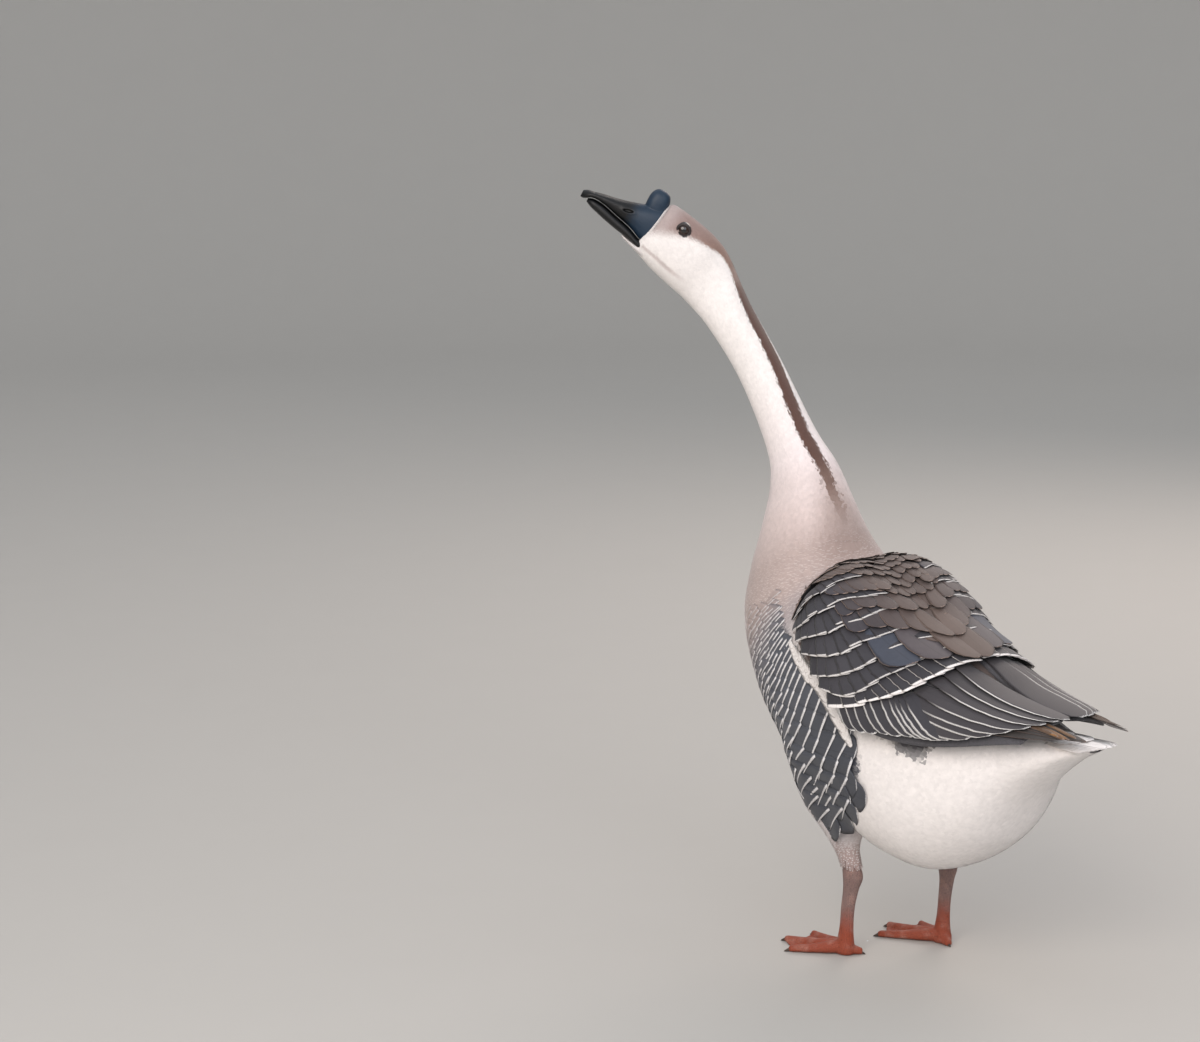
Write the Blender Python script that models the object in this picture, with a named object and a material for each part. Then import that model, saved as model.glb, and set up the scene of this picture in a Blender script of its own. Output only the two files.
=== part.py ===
# African goose, a life-size still model, standing with its neck stretched forward and its head turned left.
# Metres, +Z up. The bird faces -Y, so its own left is +X. The model is laid out from the point on the
# ground midway between the feet, and at the end it is moved so that the origin is the bottom centre of its box.

import math
import random

import bmesh
import bpy
import numpy as np
from mathutils import Matrix, Vector

# Driving sizes of the bird
GAP = 0.0003               # what touching nodes keep between them
RING_SIDES = 28            # corners of each section of body, neck and head
EYE_POINT = (0.0599, -0.3399, 0.8741)   # midway between the eyes
HEAD_YAW = 50.0            # degrees that the head is turned to the bird's left
HEAD_PITCH = 28.0          # degrees that the head's long axis points up
EYE_RADIUS = 0.0100
EYE_OUT = 0.0196           # eyeball centre from the middle of the head
LID_RADIUS = 0.0074
LID_THICK = 0.0017
BILL_TIP = 0.1335          # bill tip ahead of the eyes
HOCK_HEIGHT = 0.100
ANKLE_HEIGHT = 0.021       # where the shank meets the foot
LEFT_FOOT = (0.065, -0.027, 15.0)    # x, y and the turn to the bird's left of the toes, in degrees
RIGHT_FOOT = (-0.061, 0.016, 6.0)
TOE_LENGTHS = {"inner": 0.074, "middle": 0.093, "outer": 0.086, "hind": 0.024}
TOE_SPREAD = 29.0          # degrees between neighbouring front toes
TORSO_SPAN = (2.0, 10.5)   # the torso's stretch of the body table, in stations
NECK_SPLIT = 13.4
HEAD_START = 16.0

COLOURS = {
    "plumage_white": ((0.80, 0.78, 0.76), 0.75, 0.0),
    "plumage_fawn": ((0.52, 0.44, 0.39), 0.75, 0.0),
    "plumage_grey": ((0.10, 0.095, 0.10), 0.70, 0.0),
    "horn_black": ((0.012, 0.014, 0.020), 0.40, 0.0),
    "eye_brown": ((0.020, 0.010, 0.006), 0.08, 0.0),
    "leg_orange": ((0.48, 0.17, 0.09), 0.55, 0.0),
}


def hermite(knots, values, at):
    # A smooth curve through values at knots, for every number in at
    knots = np.asarray(knots, float)
    values = np.asarray(values, float)
    at = np.clip(np.asarray(at, float), knots[0], knots[-1])
    steps = np.diff(knots)
    slopes = np.diff(values, axis=0) / steps[:, None]
    tangents = np.vstack([slopes[:1], (slopes[1:] + slopes[:-1]) / 2, slopes[-1:]])
    i = np.clip(np.searchsorted(knots, at, side="right") - 1, 0, len(steps) - 1)
    h = steps[i][:, None]
    t = ((at - knots[i]) / steps[i])[:, None]
    return ((2 * t**3 - 3 * t**2 + 1) * values[i] + (t**3 - 2 * t**2 + t) * h * tangents[i]
            + (3 * t**2 - 2 * t**3) * values[i + 1] + (t**3 - t**2) * h * tangents[i + 1])


# Body table: one row a station, from the tail to the chin.
# A row is centre x, y, z, yaw and pitch in degrees, half width, and reach to the back and to the belly.

def rib(dorsal, ventral, half_width, belt=0.5):
    # A section of the trunk between a point of the back and one of the belly, each (y, z)
    (dy, dz), (vy, vz) = dorsal, ventral
    tall = math.hypot(dy - vy, dz - vz)
    pitch = math.degrees(math.atan2(dy - vy, dz - vz))
    return [0, vy + (dy - vy) * belt, vz + (dz - vz) * belt, 0, pitch, half_width,
            tall * (1 - belt), tall * belt]


def ring(centre, yaw, pitch, half_width, depth):
    return [*centre, yaw, pitch, half_width, depth, depth]


def head_point(forward, up, out=0.0):
    # A point given from between the eyes, along and across the head's own axes
    yaw, pitch = math.radians(HEAD_YAW), math.radians(HEAD_PITCH)
    ahead = np.array([math.sin(yaw) * math.cos(pitch), -math.cos(yaw) * math.cos(pitch), math.sin(pitch)])
    above = np.array([-math.sin(yaw) * math.sin(pitch), math.cos(yaw) * math.sin(pitch), math.cos(pitch)])
    left = np.array([math.cos(yaw), math.sin(yaw), 0.0])
    return np.array(EYE_POINT) + ahead * forward + above * up + left * out


def head_rib(dorsal, ventral, half_width):
    # A section of the head between a point of the crown and one of the throat, each (forward, up)
    (df, du), (vf, vu) = dorsal, ventral
    centre = head_point((df + vf) / 2, (du + vu) / 2)
    pitch = HEAD_PITCH + math.degrees(math.atan2(vf - df, du - vu))
    half = math.hypot(df - vf, du - vu) / 2
    return [*centre, HEAD_YAW, pitch, half_width, half, half]


BODY_TABLE = np.array([
    rib((0.318, 0.320), (0.318, 0.312), 0.014),            # 0 end of the under tail coverts
    rib((0.272, 0.321), (0.274, 0.286), 0.037),
    rib((0.225, 0.333), (0.222, 0.240), 0.060, 0.55),      # 2 rump and vent
    rib((0.180, 0.354), (0.174, 0.170), 0.090, 0.50),
    rib((0.130, 0.380), (0.105, 0.128), 0.114, 0.48),      # 4 paunch
    rib((0.075, 0.406), (0.045, 0.130), 0.127, 0.48),
    rib((0.020, 0.431), (-0.013, 0.150), 0.129, 0.50),     # 6 between the legs
    rib((-0.030, 0.454), (-0.079, 0.192), 0.127, 0.52),
    rib((-0.060, 0.470), (-0.147, 0.250), 0.118, 0.52),    # 8 breast
    rib((-0.078, 0.483), (-0.200, 0.318), 0.104, 0.50),
    rib((-0.090, 0.498), (-0.231, 0.388), 0.089, 0.50),    # 10 root of the neck
    rib((-0.101, 0.520), (-0.233, 0.450), 0.071, 0.50),
    rib((-0.113, 0.549), (-0.225, 0.503), 0.055, 0.50),    # 12
    ring((0, -0.1775, 0.5750), 2, 66, 0.0405, 0.0440),
    ring((0.002, -0.2000, 0.6175), 6, 61, 0.0315, 0.0320),  # 14 slimmest part of the neck
    ring((0.009, -0.2490, 0.6985), 15, 57, 0.0270, 0.0280),
    ring((0.026, -0.2898, 0.7658), 26, 54, 0.0285, 0.0300),  # 16 top of the neck
    head_rib((-0.068, -0.004), (-0.044, -0.079), 0.0305),
    head_rib((-0.040, 0.0095), (-0.018, -0.0725), 0.0325),  # 18 cheeks
    head_rib((-0.010, 0.0165), (0.008, -0.0655), 0.0315),
    head_rib((0.013, 0.0200), (0.024, -0.0600), 0.0270),   # 20 in front of the eyes
    head_rib((0.026, 0.0195), (0.0385, -0.0540), 0.0205),
    head_rib((0.0325, 0.0100), (0.0440, -0.0480), 0.0140),
])
BODY_KNOTS = np.arange(len(BODY_TABLE))
SQUARE = 2.25              # how full the sections are: 2 is an ellipse


def body_frames(at):
    # Centre, side axis, back axis and the three reaches of the body's sections
    row = hermite(BODY_KNOTS, BODY_TABLE, np.atleast_1d(at))
    yaw, pitch = np.radians(row[:, 3]), np.radians(row[:, 4])
    left = np.stack([np.cos(yaw), np.sin(yaw), 0 * yaw], 1)
    above = np.stack([-np.sin(yaw) * np.sin(pitch), np.cos(yaw) * np.sin(pitch), np.cos(pitch)], 1)
    ahead = np.stack([np.sin(yaw) * np.cos(pitch), -np.cos(yaw) * np.cos(pitch), np.sin(pitch)], 1)
    return row[:, :3], left, above, ahead, row[:, 5:8]


def body_ring(at, angle):
    # Points of the body's surface; angle 0 is the bird's left and 90 degrees its back
    centre, left, above, _, reach = body_frames(at)
    c, s = np.cos(angle), np.sin(angle)
    across = np.sign(c) * np.abs(c) ** (2 / SQUARE) * reach[:, 0:1]
    high = np.sign(s) * np.abs(s) ** (2 / SQUARE) * np.where(s > 0, reach[:, 1:2], reach[:, 2:3])
    return centre[:, None] + left[:, None] * across[..., None] + above[:, None] * high[..., None]


def tube_faces(rings, sides):
    # Quads between rings of corners, split alike, with a fan over each end
    faces = []
    for i in range(rings - 1):
        for j in range(sides):
            k = (j + 1) % sides
            a, b, c, d = i * sides + j, i * sides + k, (i + 1) * sides + k, (i + 1) * sides + j
            faces += [(a, b, c), (a, c, d)]
    first, last = rings * sides, rings * sides + 1
    top = (rings - 1) * sides
    for j in range(sides):
        k = (j + 1) % sides
        faces += [(first, k, j), (last, top + j, top + k)]
    return faces


def tube_mesh(points):
    # A closed tube over rings of points, shape (rings, sides, 3)
    rings, sides, _ = points.shape
    flat = np.vstack([points.reshape(-1, 3), points[0].mean(0), points[-1].mean(0)])
    return flat, tube_faces(rings, sides)


def body_mesh(first, last, count, start_gap=0.0):
    at = np.linspace(first, last, count)
    angle = np.arange(RING_SIDES) * 2 * math.pi / RING_SIDES
    points = body_ring(at, angle)
    ahead = body_frames([first])[3][0]
    points[0] += ahead * start_gap
    return tube_mesh(points)


def link(name, points, faces, colour=None):
    # An object with outward faces from points and faces
    mesh = bpy.data.meshes.new(name)
    mesh.from_pydata([tuple(p) for p in points], [], [tuple(int(i) for i in f) for f in faces])
    made = bmesh.new()
    made.from_mesh(mesh)
    bmesh.ops.recalc_face_normals(made, faces=made.faces)
    if made.calc_volume(signed=True) < 0:
        bmesh.ops.reverse_faces(made, faces=made.faces)
    made.to_mesh(mesh)
    made.free()
    item = bpy.data.objects.new(name, mesh)
    bpy.context.scene.collection.objects.link(item)
    if colour:
        mesh.materials.append(finish(colour))
    return item


def finish(name):
    if name in bpy.data.materials:
        return bpy.data.materials[name]
    colour, roughness, metallic = COLOURS[name]
    material = bpy.data.materials.new(name)
    material.use_nodes = True
    shader = material.node_tree.nodes["Principled BSDF"]
    shader.inputs["Base Color"].default_value = (*colour, 1.0)
    shader.inputs["Roughness"].default_value = roughness
    shader.inputs["Metallic"].default_value = metallic
    return material


def boolean(item, others, operation, solver="EXACT"):
    # Joins or cuts item with a list of closed objects, which are then removed
    group = bpy.data.collections.new("operands")
    for other in others:
        for home in other.users_collection:
            home.objects.unlink(other)
        group.objects.link(other)
    bpy.context.scene.collection.children.link(group)
    step = item.modifiers.new(operation.lower(), "BOOLEAN")
    step.operation, step.solver, step.operand_type, step.collection = operation, solver, "COLLECTION", group
    graph = bpy.context.evaluated_depsgraph_get()
    result = bpy.data.meshes.new_from_object(item.evaluated_get(graph))
    item.modifiers.clear()
    item.data = result
    for other in others:
        bpy.data.objects.remove(other)
    bpy.data.collections.remove(group)
    return keep_largest(item)


def keep_largest(item):
    # Drops all but the largest closed surface, and splits every face into triangles
    made = bmesh.new()
    made.from_mesh(item.data)
    bmesh.ops.triangulate(made, faces=made.faces)
    left, shells = set(made.faces), []
    while left:
        stack, shell = [left.pop()], []
        while stack:
            face = stack.pop()
            shell.append(face)
            for edge in face.edges:
                for other in edge.link_faces:
                    if other in left:
                        left.remove(other)
                        stack.append(other)
        shells.append(shell)
    shells.sort(key=lambda shell: sum(face.calc_area() for face in shell))
    for shell in shells[:-1]:
        bmesh.ops.delete(made, geom=shell, context="FACES")
    loose = [v for v in made.verts if not v.link_faces]
    bmesh.ops.delete(made, geom=loose, context="VERTS")
    made.to_mesh(item.data)
    made.free()
    return item


def grown(item, by=GAP):
    # A copy of a closed object with its surface moved out, used as a cutter
    copy = item.copy()
    copy.data = item.data.copy()
    bpy.context.scene.collection.objects.link(copy)
    normals = [v.normal.copy() for v in copy.data.vertices]
    for vertex, normal in zip(copy.data.vertices, normals):
        vertex.co += normal * by * 1.15
    return copy


def box(name, low, high):
    corners = [(x, y, z) for x in (low[0], high[0]) for y in (low[1], high[1]) for z in (low[2], high[2])]
    faces = [(0, 1, 3), (0, 3, 2), (4, 6, 7), (4, 7, 5), (0, 4, 5), (0, 5, 1),
             (2, 3, 7), (2, 7, 6), (0, 2, 6), (0, 6, 4), (1, 5, 7), (1, 7, 3)]
    return link(name, corners, faces)


# Folded wing. Each row is a station from the shoulder to the tip of the longest primary:
# y, half width and height of the arc that the wing lies on, the arc's middle height, how square
# it is (2 is an ellipse), and the angles from straight up of the wing's upper and lower edges.
WING_TABLE = np.array([
    (-0.088, 0.108, 0.096, 0.361, 2.4, 34, 62),
    (-0.060, 0.127, 0.129, 0.353, 2.8, 19, 68),    # shoulder
    (-0.030, 0.138, 0.138, 0.339, 2.9, 13, 73),
    (0.010, 0.145, 0.132, 0.322, 2.6, 9, 79),
    (0.050, 0.146, 0.122, 0.304, 2.2, 6, 83),      # widest place
    (0.090, 0.144, 0.106, 0.300, 2.1, 5, 86),
    (0.140, 0.133, 0.085, 0.300, 2.0, 4, 87),
    (0.190, 0.116, 0.056, 0.308, 2.0, 3, 89),
    (0.235, 0.094, 0.036, 0.317, 2.0, 2, 90),      # over the rump
    (0.275, 0.074, 0.023, 0.323, 2.0, 2, 88),
    (0.310, 0.056, 0.014, 0.326, 2.0, 8, 84),
    (0.336, 0.046, 0.009, 0.328, 2.0, 36, 76),     # tip
])


def bent(value, power):
    return np.sign(value) * np.abs(value) ** power


def wing_surface(y, across, lift, side):
    # A point on the folded wing: across runs from 0 at the upper edge to 1 at the lower one
    row = hermite(WING_TABLE[:, 0], WING_TABLE[:, 1:], np.atleast_1d(y))
    wide, tall, full = row[:, 0], row[:, 1], row[:, 3]
    turn = np.radians(row[:, 4] + (row[:, 5] - row[:, 4]) * across)
    c, s = np.cos(turn), np.sin(turn)
    place = np.stack([side * wide * bent(s, 2 / full), np.atleast_1d(y) + 0 * turn,
                      row[:, 2] + tall * bent(c, 2 / full)], 1)
    out = np.stack([side * bent(s, 2 - 2 / full) / wide, 0 * turn, bent(c, 2 - 2 / full) / tall], 1)
    out /= np.linalg.norm(out, axis=1)[:, None]
    return place + out * np.reshape(lift, (-1, 1))


def wing_core(side):
    # The closed pad that the vanes grow from, thinner towards its ends
    ys = np.linspace(WING_TABLE[0, 0], CORE_END, 15)
    across = np.linspace(0.0, 0.97, 9)
    rings = []
    for i, y in enumerate(ys):
        end = min(1.0, (len(ys) - 1 - i) / 3 + 0.3, i / 2 + 0.35)
        y_row = np.full(len(across), y)
        top = wing_surface(y_row, across, np.full(len(across), CORE_TOP), side)
        low = wing_surface(y_row, across[::-1], np.full(len(across), CORE_TOP - CORE_DEPTH * end), side)
        rings.append(np.vstack([top, low]))
    return tube_mesh(np.array(rings))


# Feathers of the wing as groups. A group is the outer edges of its first and last feather, each
# root (y, across) and tip (y, across), how many there are, their widths, the bow of the edge,
# and the height of root and tip over the wing's surface.
FEATHER_GROUPS = {
    "primaries": (((0.160, 0.78), (0.303, 0.70)), ((0.170, 0.30), (0.334, 0.52)), 4,
                  (0.017, 0.019), 0.000, (-0.0060, -0.0010)),
    "secondaries": (((0.010, 0.93), (0.065, 1.04)), ((0.085, 0.60), (0.158, 0.90)), 6,
                    (0.019, 0.023), 0.010, (-0.0055, 0.0002)),
    "tertials": (((0.090, 0.50), (0.200, 0.93)), ((0.110, 0.04), (0.290, 0.12)), 4,
                 (0.034, 0.032), 0.040, (-0.0050, 0.0018)),
    "greater_coverts": (((0.000, 0.78), (0.046, 0.93)), ((0.075, 0.04), (0.136, 0.02)), 7,
                        (0.026, 0.030), 0.010, (-0.0035, 0.0036)),
    "median_coverts": (((-0.045, 0.72), (0.004, 0.88)), ((0.010, 0.12), (0.068, 0.12)), 5,
                       (0.032, 0.034), 0.010, (-0.0025, 0.0050)),
    "lesser_coverts": (((-0.076, 0.60), (-0.030, 0.86)), ((-0.050, 0.14), (0.014, 0.14)), 4,
                       (0.032, 0.034), 0.010, (-0.0020, 0.0056)),
}
CORE_END = 0.268           # how far back the pad reaches
CORE_TOP = -0.0040         # the pad's face under the wing's surface
CORE_DEPTH = 0.010
MIDDLE = 0.0004            # how far each wing keeps from the line between the two
VANE_THICK = 0.0011
VANE_TILT = 0.085          # how steeply each vane lies over the one before it
VANE_SHAPE = ((0.0, 0.55), (0.35, 0.92), (0.7, 1.0), (0.9, 0.78), (1.0, 0.30))   # width along a vane


def vane_mesh(place, rows=5, columns=3):
    # A closed thin vane over place(t, u), which gives a point and the direction its thickness takes
    top, low = [], []
    for i in range(rows):
        for j in range(columns):
            t, u = i / (rows - 1), j / (columns - 1)
            point, out = place(t, u)
            half = VANE_THICK / 2 * (1 - 0.45 * t) * (1 - 0.35 * abs(2 * u - 1))
            top.append(point + out * half)
            low.append(point - out * half)
    count = rows * columns
    faces = []
    for i in range(rows - 1):
        for j in range(columns - 1):
            a, b = i * columns + j, i * columns + j + 1
            c, d = a + columns + 1, a + columns
            faces += [(a, b, c), (a, c, d), (a + count, c + count, b + count), (a + count, d + count, c + count)]
    rim = ([j for j in range(columns)] + [i * columns + columns - 1 for i in range(1, rows)]
           + [(rows - 1) * columns + j for j in range(columns - 2, -1, -1)]
           + [i * columns for i in range(rows - 2, 0, -1)])
    for a, b in zip(rim, rim[1:] + rim[:1]):
        faces += [(a, a + count, b + count), (a, b + count, b)]
    return top + low, faces


def wing_vane(side, root, tip, width, bow, lifts):
    # A vane on the wing's surface whose outer edge runs from root to tip
    shape_at, shape = zip(*VANE_SHAPE)
    step = 1e-3

    def spot(y, across, lift=0.0):
        return wing_surface([y], across, [lift], side)[0]

    def place(t, u):
        sag = bow * 4 * t * (1 - t)
        y, across = root[0] + (tip[0] - root[0]) * t, root[1] + (tip[1] - root[1]) * t - sag
        slope = tip[1] - root[1] - bow * 4 * (1 - 2 * t)
        here = spot(y, across)
        by_y = (spot(y + step, across) - here) / step
        by_across = (spot(y, across + step) - here) / step
        along = by_y * (tip[0] - root[0]) + by_across * slope
        out = spot(y, across, step) - here
        out /= np.linalg.norm(out)
        sideways = np.cross(out, along) * side
        sideways /= np.linalg.norm(sideways)
        lateral = width / 2 + (u - 0.5) * width * np.interp(t, shape_at, shape)
        move, *_ = np.linalg.lstsq(np.stack([by_y, by_across], 1), sideways * lateral, rcond=None)
        lift = lifts[0] + (lifts[1] - lifts[0]) * t**0.7 + VANE_TILT * width * (0.5 - u)
        return spot(y + move[0], across + move[1], lift), out

    return vane_mesh(place)


def build_wing(side, name, seed):
    chance = random.Random(seed)
    wing = link(name, *wing_core(side), "plumage_grey")
    vanes = []
    for first, last, count, widths, bow, lifts in FEATHER_GROUPS.values():
        for i in range(count):
            mix = i / (count - 1)
            root, tip = [[first[k][m] + (last[k][m] - first[k][m]) * mix for m in (0, 1)] for k in (0, 1)]
            tip[0] += chance.uniform(-0.002, 0.002)
            tip[1] += chance.uniform(-0.01, 0.01)
            width = widths[0] + (widths[1] - widths[0]) * mix
            shift = chance.uniform(-0.0003, 0.0003)
            heights = (lifts[0] + shift, lifts[1] + shift)
            vanes.append(link("vane", *wing_vane(side, root, tip, width, bow, heights)))
    return boolean(wing, vanes, "UNION", "MANIFOLD")


# Head parts, in the head's own axes: forward of the eyes, up, and out to the side.
# Rows of a bill half: forward, top, bottom, half width, how full the section is.
UPPER_BILL = np.array([
    (0.022, 0.012, -0.041, 0.0150, 2.2),
    (0.040, 0.010, -0.039, 0.0165, 2.2),
    (0.058, 0.0035, -0.0315, 0.0158, 2.2),
    (0.082, -0.0038, -0.0255, 0.0145, 2.3),
    (0.105, -0.0085, -0.0200, 0.0138, 2.4),
    (0.120, -0.0120, -0.0200, 0.0120, 2.5),
    (0.129, -0.0140, -0.0255, 0.0085, 2.4),
    (BILL_TIP, -0.0165, -0.0255, 0.0035, 2.2),
])
LOWER_BILL = np.array([
    (0.030, 0.0, -0.0500, 0.0130, 2.4),
    (0.042, 0.0, -0.0482, 0.0142, 2.4),
    (0.060, 0.0, -0.0440, 0.0138, 2.4),
    (0.082, 0.0, -0.0398, 0.0128, 2.4),
    (0.105, 0.0, -0.0342, 0.0116, 2.4),
    (0.118, 0.0, -0.0302, 0.0092, 2.4),
    (0.1235, 0.0, -0.0275, 0.0050, 2.2),
])
MOUTH_GAP = 0.0006         # the lower half's top follows the upper half this far below it
LOWER_BILL[:, 1] = np.interp(LOWER_BILL[:, 0], UPPER_BILL[:, 0], UPPER_BILL[:, 2]) - MOUTH_GAP
CHIN = np.array([          # feathered skin between the two arms of the lower bill
    (0.014, -0.0300, -0.0620, 0.0190, 2.2),
    (0.038, -0.0440, -0.0548, 0.0130, 2.2),
    (0.052, -0.0445, -0.0502, 0.0095, 2.2),
    (0.064, -0.0425, -0.0460, 0.0045, 2.2),
])
KNOB = {"forward": 0.0428, "up": 0.0120, "long": 0.0140, "tall": 0.0185, "wide": 0.0120, "full": 2.5}


def bill_mesh(table, rings=12, sides=16):
    at = np.linspace(table[0, 0], table[-1, 0], rings)
    row = hermite(table[:, 0], table[:, 1:], at)
    angle = np.arange(sides) * 2 * math.pi / sides
    c, s = np.cos(angle), np.sin(angle)
    points = []
    for x, (top, bottom, wide, full) in zip(at, row):
        middle, half = (top + bottom) / 2, (top - bottom) / 2
        points.append([head_point(x, middle + half * np.sign(b) * abs(b) ** (2 / full),
                                  wide * np.sign(a) * abs(a) ** (2 / full)) for a, b in zip(c, s)])
    return tube_mesh(np.array(points))


def round_mesh(place, rings=9, sides=16):
    # A closed ball over a function of two unit angles
    points = [[place(math.pi * (i + 0.35) / (rings - 0.3), 2 * math.pi * j / sides) for j in range(sides)]
              for i in range(rings)]
    return tube_mesh(np.array(points))


def power(value, full):
    return math.copysign(abs(value) ** (2 / full), value)


def build_knob():
    k = KNOB

    def place(polar, turn):
        up = power(math.cos(polar), k["full"])
        ring_size = power(math.sin(polar), k["full"])
        return head_point(k["forward"] + k["long"] * ring_size * power(math.cos(turn), k["full"]),
                          k["up"] + k["tall"] * up,
                          k["wide"] * ring_size * power(math.sin(turn), k["full"]))

    return link("knob", *round_mesh(place), "horn_black")


def build_eye(name, side):
    def place(polar, turn):
        return head_point(EYE_RADIUS * math.sin(polar) * math.cos(turn), EYE_RADIUS * math.sin(polar) * math.sin(turn),
                          side * (EYE_OUT + EYE_RADIUS * math.cos(polar)))

    return link(name, *round_mesh(place, 8, 14), "eye_brown")


def build_lid(side):
    # The ring of skin round the eye
    out = EYE_OUT + 0.0067
    rings, sides = 16, 6
    points = []
    for i in range(rings):
        turn = 2 * math.pi * i / rings
        for j in range(sides):
            a = 2 * math.pi * j / sides
            radius = LID_RADIUS + LID_THICK * math.cos(a)
            points.append(head_point(radius * 1.12 * math.cos(turn), radius * math.sin(turn),
                                     side * (out + LID_THICK * math.sin(a))))
    faces = []
    for i in range(rings):
        for j in range(sides):
            k, m = (i + 1) % rings, (j + 1) % sides
            a, b, c, d = i * sides + j, i * sides + m, k * sides + m, k * sides + j
            faces += [(a, b, c), (a, c, d)]
    return link("lid", points, faces)


def build_nostril(side):
    # A slanted oval hole in the side of the upper bill
    def place(polar, turn):
        return head_point(0.072 + 0.0068 * math.sin(polar) * math.cos(turn),
                          -0.0125 + 0.0022 * math.sin(polar) * math.sin(turn),
                          side * (0.0135 + 0.0040 * math.cos(polar)))

    return link("nostril", *round_mesh(place, 6, 10))


# Legs and feet

def leg_mesh(x, y, turn, top):
    # Shank, hock and feathered thigh. Rows: x, y, z, half width, half depth.
    inward = -math.copysign(1, x)
    table = np.array([
        (x, y + 0.002, ANKLE_HEIGHT + GAP, 0.0085, 0.0105),
        (x, y + 0.003, 0.034, 0.0066, 0.0096),
        (x, y + 0.005, 0.060, 0.0062, 0.0094),
        (x + inward * 0.001, y + 0.009, 0.085, 0.0075, 0.0108),
        (x + inward * 0.002, y + 0.011, HOCK_HEIGHT, 0.0100, 0.0135),     # hock
        (x + inward * 0.002, y + 0.007, 0.116, 0.0108, 0.0135),
        (x + inward * 0.001, y + 0.000, 0.135, 0.0150, 0.0175),
        (x, y - 0.006, 0.158, 0.0240, 0.0280),
        (x + inward * 0.006, y - 0.020, 0.190, 0.0350, 0.0490),
        (x + inward * 0.014, y - 0.026, top, 0.0380, 0.0530),
    ])
    z = np.unique(np.concatenate([table[:, 2], (table[1:, 2] + table[:-1, 2]) / 2]))
    row = hermite(table[:, 2], table, z)
    c, s = math.cos(math.radians(turn)), math.sin(math.radians(turn))
    points = []
    for px, py, pz, wide, deep in row:
        ring_points = []
        for a in np.arange(14) * 2 * math.pi / 14:
            across, along = wide * math.cos(a), deep * math.sin(a)
            ring_points.append((px + across * c - along * s, py + across * s + along * c, pz))
        points.append(ring_points)
    return tube_mesh(np.array(points))


def toe_path(x, y, turn, length, count=7):
    # Points from the foot's joint to the claw tip: x, y, z, half width
    heading = math.radians(turn)
    along = np.linspace(0, 1, count)
    points = []
    for t in along:
        reach = length * t
        rise = 0.0056 * (1 - t) ** 1.6 + 0.0034
        if t == 1:
            rise = 0.0012
        points.append((x + math.sin(heading) * reach, y - math.cos(heading) * reach, rise,
                       0.0075 * (1 - t) ** 0.6 + 0.0030 if t < 1 else 0.0012))
    return points


def toe_mesh(x, y, turn, length):
    path = toe_path(x, y, turn, length)
    heading = math.radians(turn)
    side = (math.cos(heading), math.sin(heading))
    sides = 8
    points = []
    for px, py, pz, half in path:
        ring_points = []
        for j in range(sides):
            a = 2 * math.pi * (j + 0.5) / sides
            across = half * math.cos(a)
            ring_points.append((px + side[0] * across, py + side[1] * across, pz + (pz + 0.002) * math.sin(a)))
        points.append(ring_points)
    return tube_mesh(np.array(points))


def web_mesh(x, y, turn_a, length_a, turn_b, length_b):
    # The skin between two toes, with its free edge drawn in
    rows, columns = 5, 5
    top, low = [], []
    for i in range(rows):
        t = 0.10 + 0.86 * i / (rows - 1)
        for j in range(columns):
            s = j / (columns - 1)
            turn = math.radians(turn_a + (turn_b - turn_a) * s)
            length = (length_a + (length_b - length_a) * s) * t
            length *= 1 - 0.13 * math.sin(math.pi * s) * t**3
            px, py = x + math.sin(turn) * length, y - math.cos(turn) * length
            sag = 0.0040 * (1 - t) ** 1.5 + 0.0030 - 0.0009 * math.sin(math.pi * s)
            top.append((px, py, sag))
            low.append((px, py, -0.003))
    points = top + low
    faces = []
    count = rows * columns
    for i in range(rows - 1):
        for j in range(columns - 1):
            a, b = i * columns + j, i * columns + j + 1
            c, d = a + columns + 1, a + columns
            faces += [(a, b, c), (a, c, d), (a + count, c + count, b + count), (a + count, d + count, c + count)]
    rim = ([j for j in range(columns)] + [i * columns + columns - 1 for i in range(1, rows)]
           + [(rows - 1) * columns + j for j in range(columns - 2, -1, -1)]
           + [i * columns for i in range(rows - 2, 0, -1)])
    for a, b in zip(rim, rim[1:] + rim[:1]):
        faces += [(a, a + count, b + count), (a, b + count, b)]
    return points, faces


def build_foot(name, place, mirror):
    # Three webbed front toes and a small hind one, on one flat sole
    x, y, turn = place
    turns = {"inner": turn - mirror * TOE_SPREAD, "middle": turn, "outer": turn + mirror * TOE_SPREAD,
             "hind": turn + 180 - mirror * 25}
    joint = [(x + 0.0105 * math.cos(a), y + 0.0125 * math.sin(a) + 0.001) for a in np.arange(12) * math.pi / 6]
    foot = link(name, *tube_mesh(np.array([[(px, py, z) for px, py in joint] for z in (-0.004, ANKLE_HEIGHT)])),
                "leg_orange")
    pieces = [link("toe", *toe_mesh(x, y, turns[key], TOE_LENGTHS[key])) for key in turns]
    for a, b in (("inner", "middle"), ("middle", "outer")):
        pieces.append(link("web", *web_mesh(x, y, turns[a], TOE_LENGTHS[a], turns[b], TOE_LENGTHS[b])))
    boolean(foot, pieces, "UNION")
    under = box("under", (x - 0.3, y - 0.3, -0.1), (x + 0.3, y + 0.3, 0.0))
    return boolean(foot, [under], "DIFFERENCE")


# Tail

TAIL_ROOT = (0.0, 0.180, 0.3185)
TAIL_LENGTH = 0.153
TAIL_LIFT = 0.6            # degrees that the tail feathers rise to the rear
TAIL_FAN = 12.0            # degrees to each side
TAIL_FEATHERS = 7
TAIL_WIDTH = 0.026
TAIL_COVERTS = 2


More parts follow.
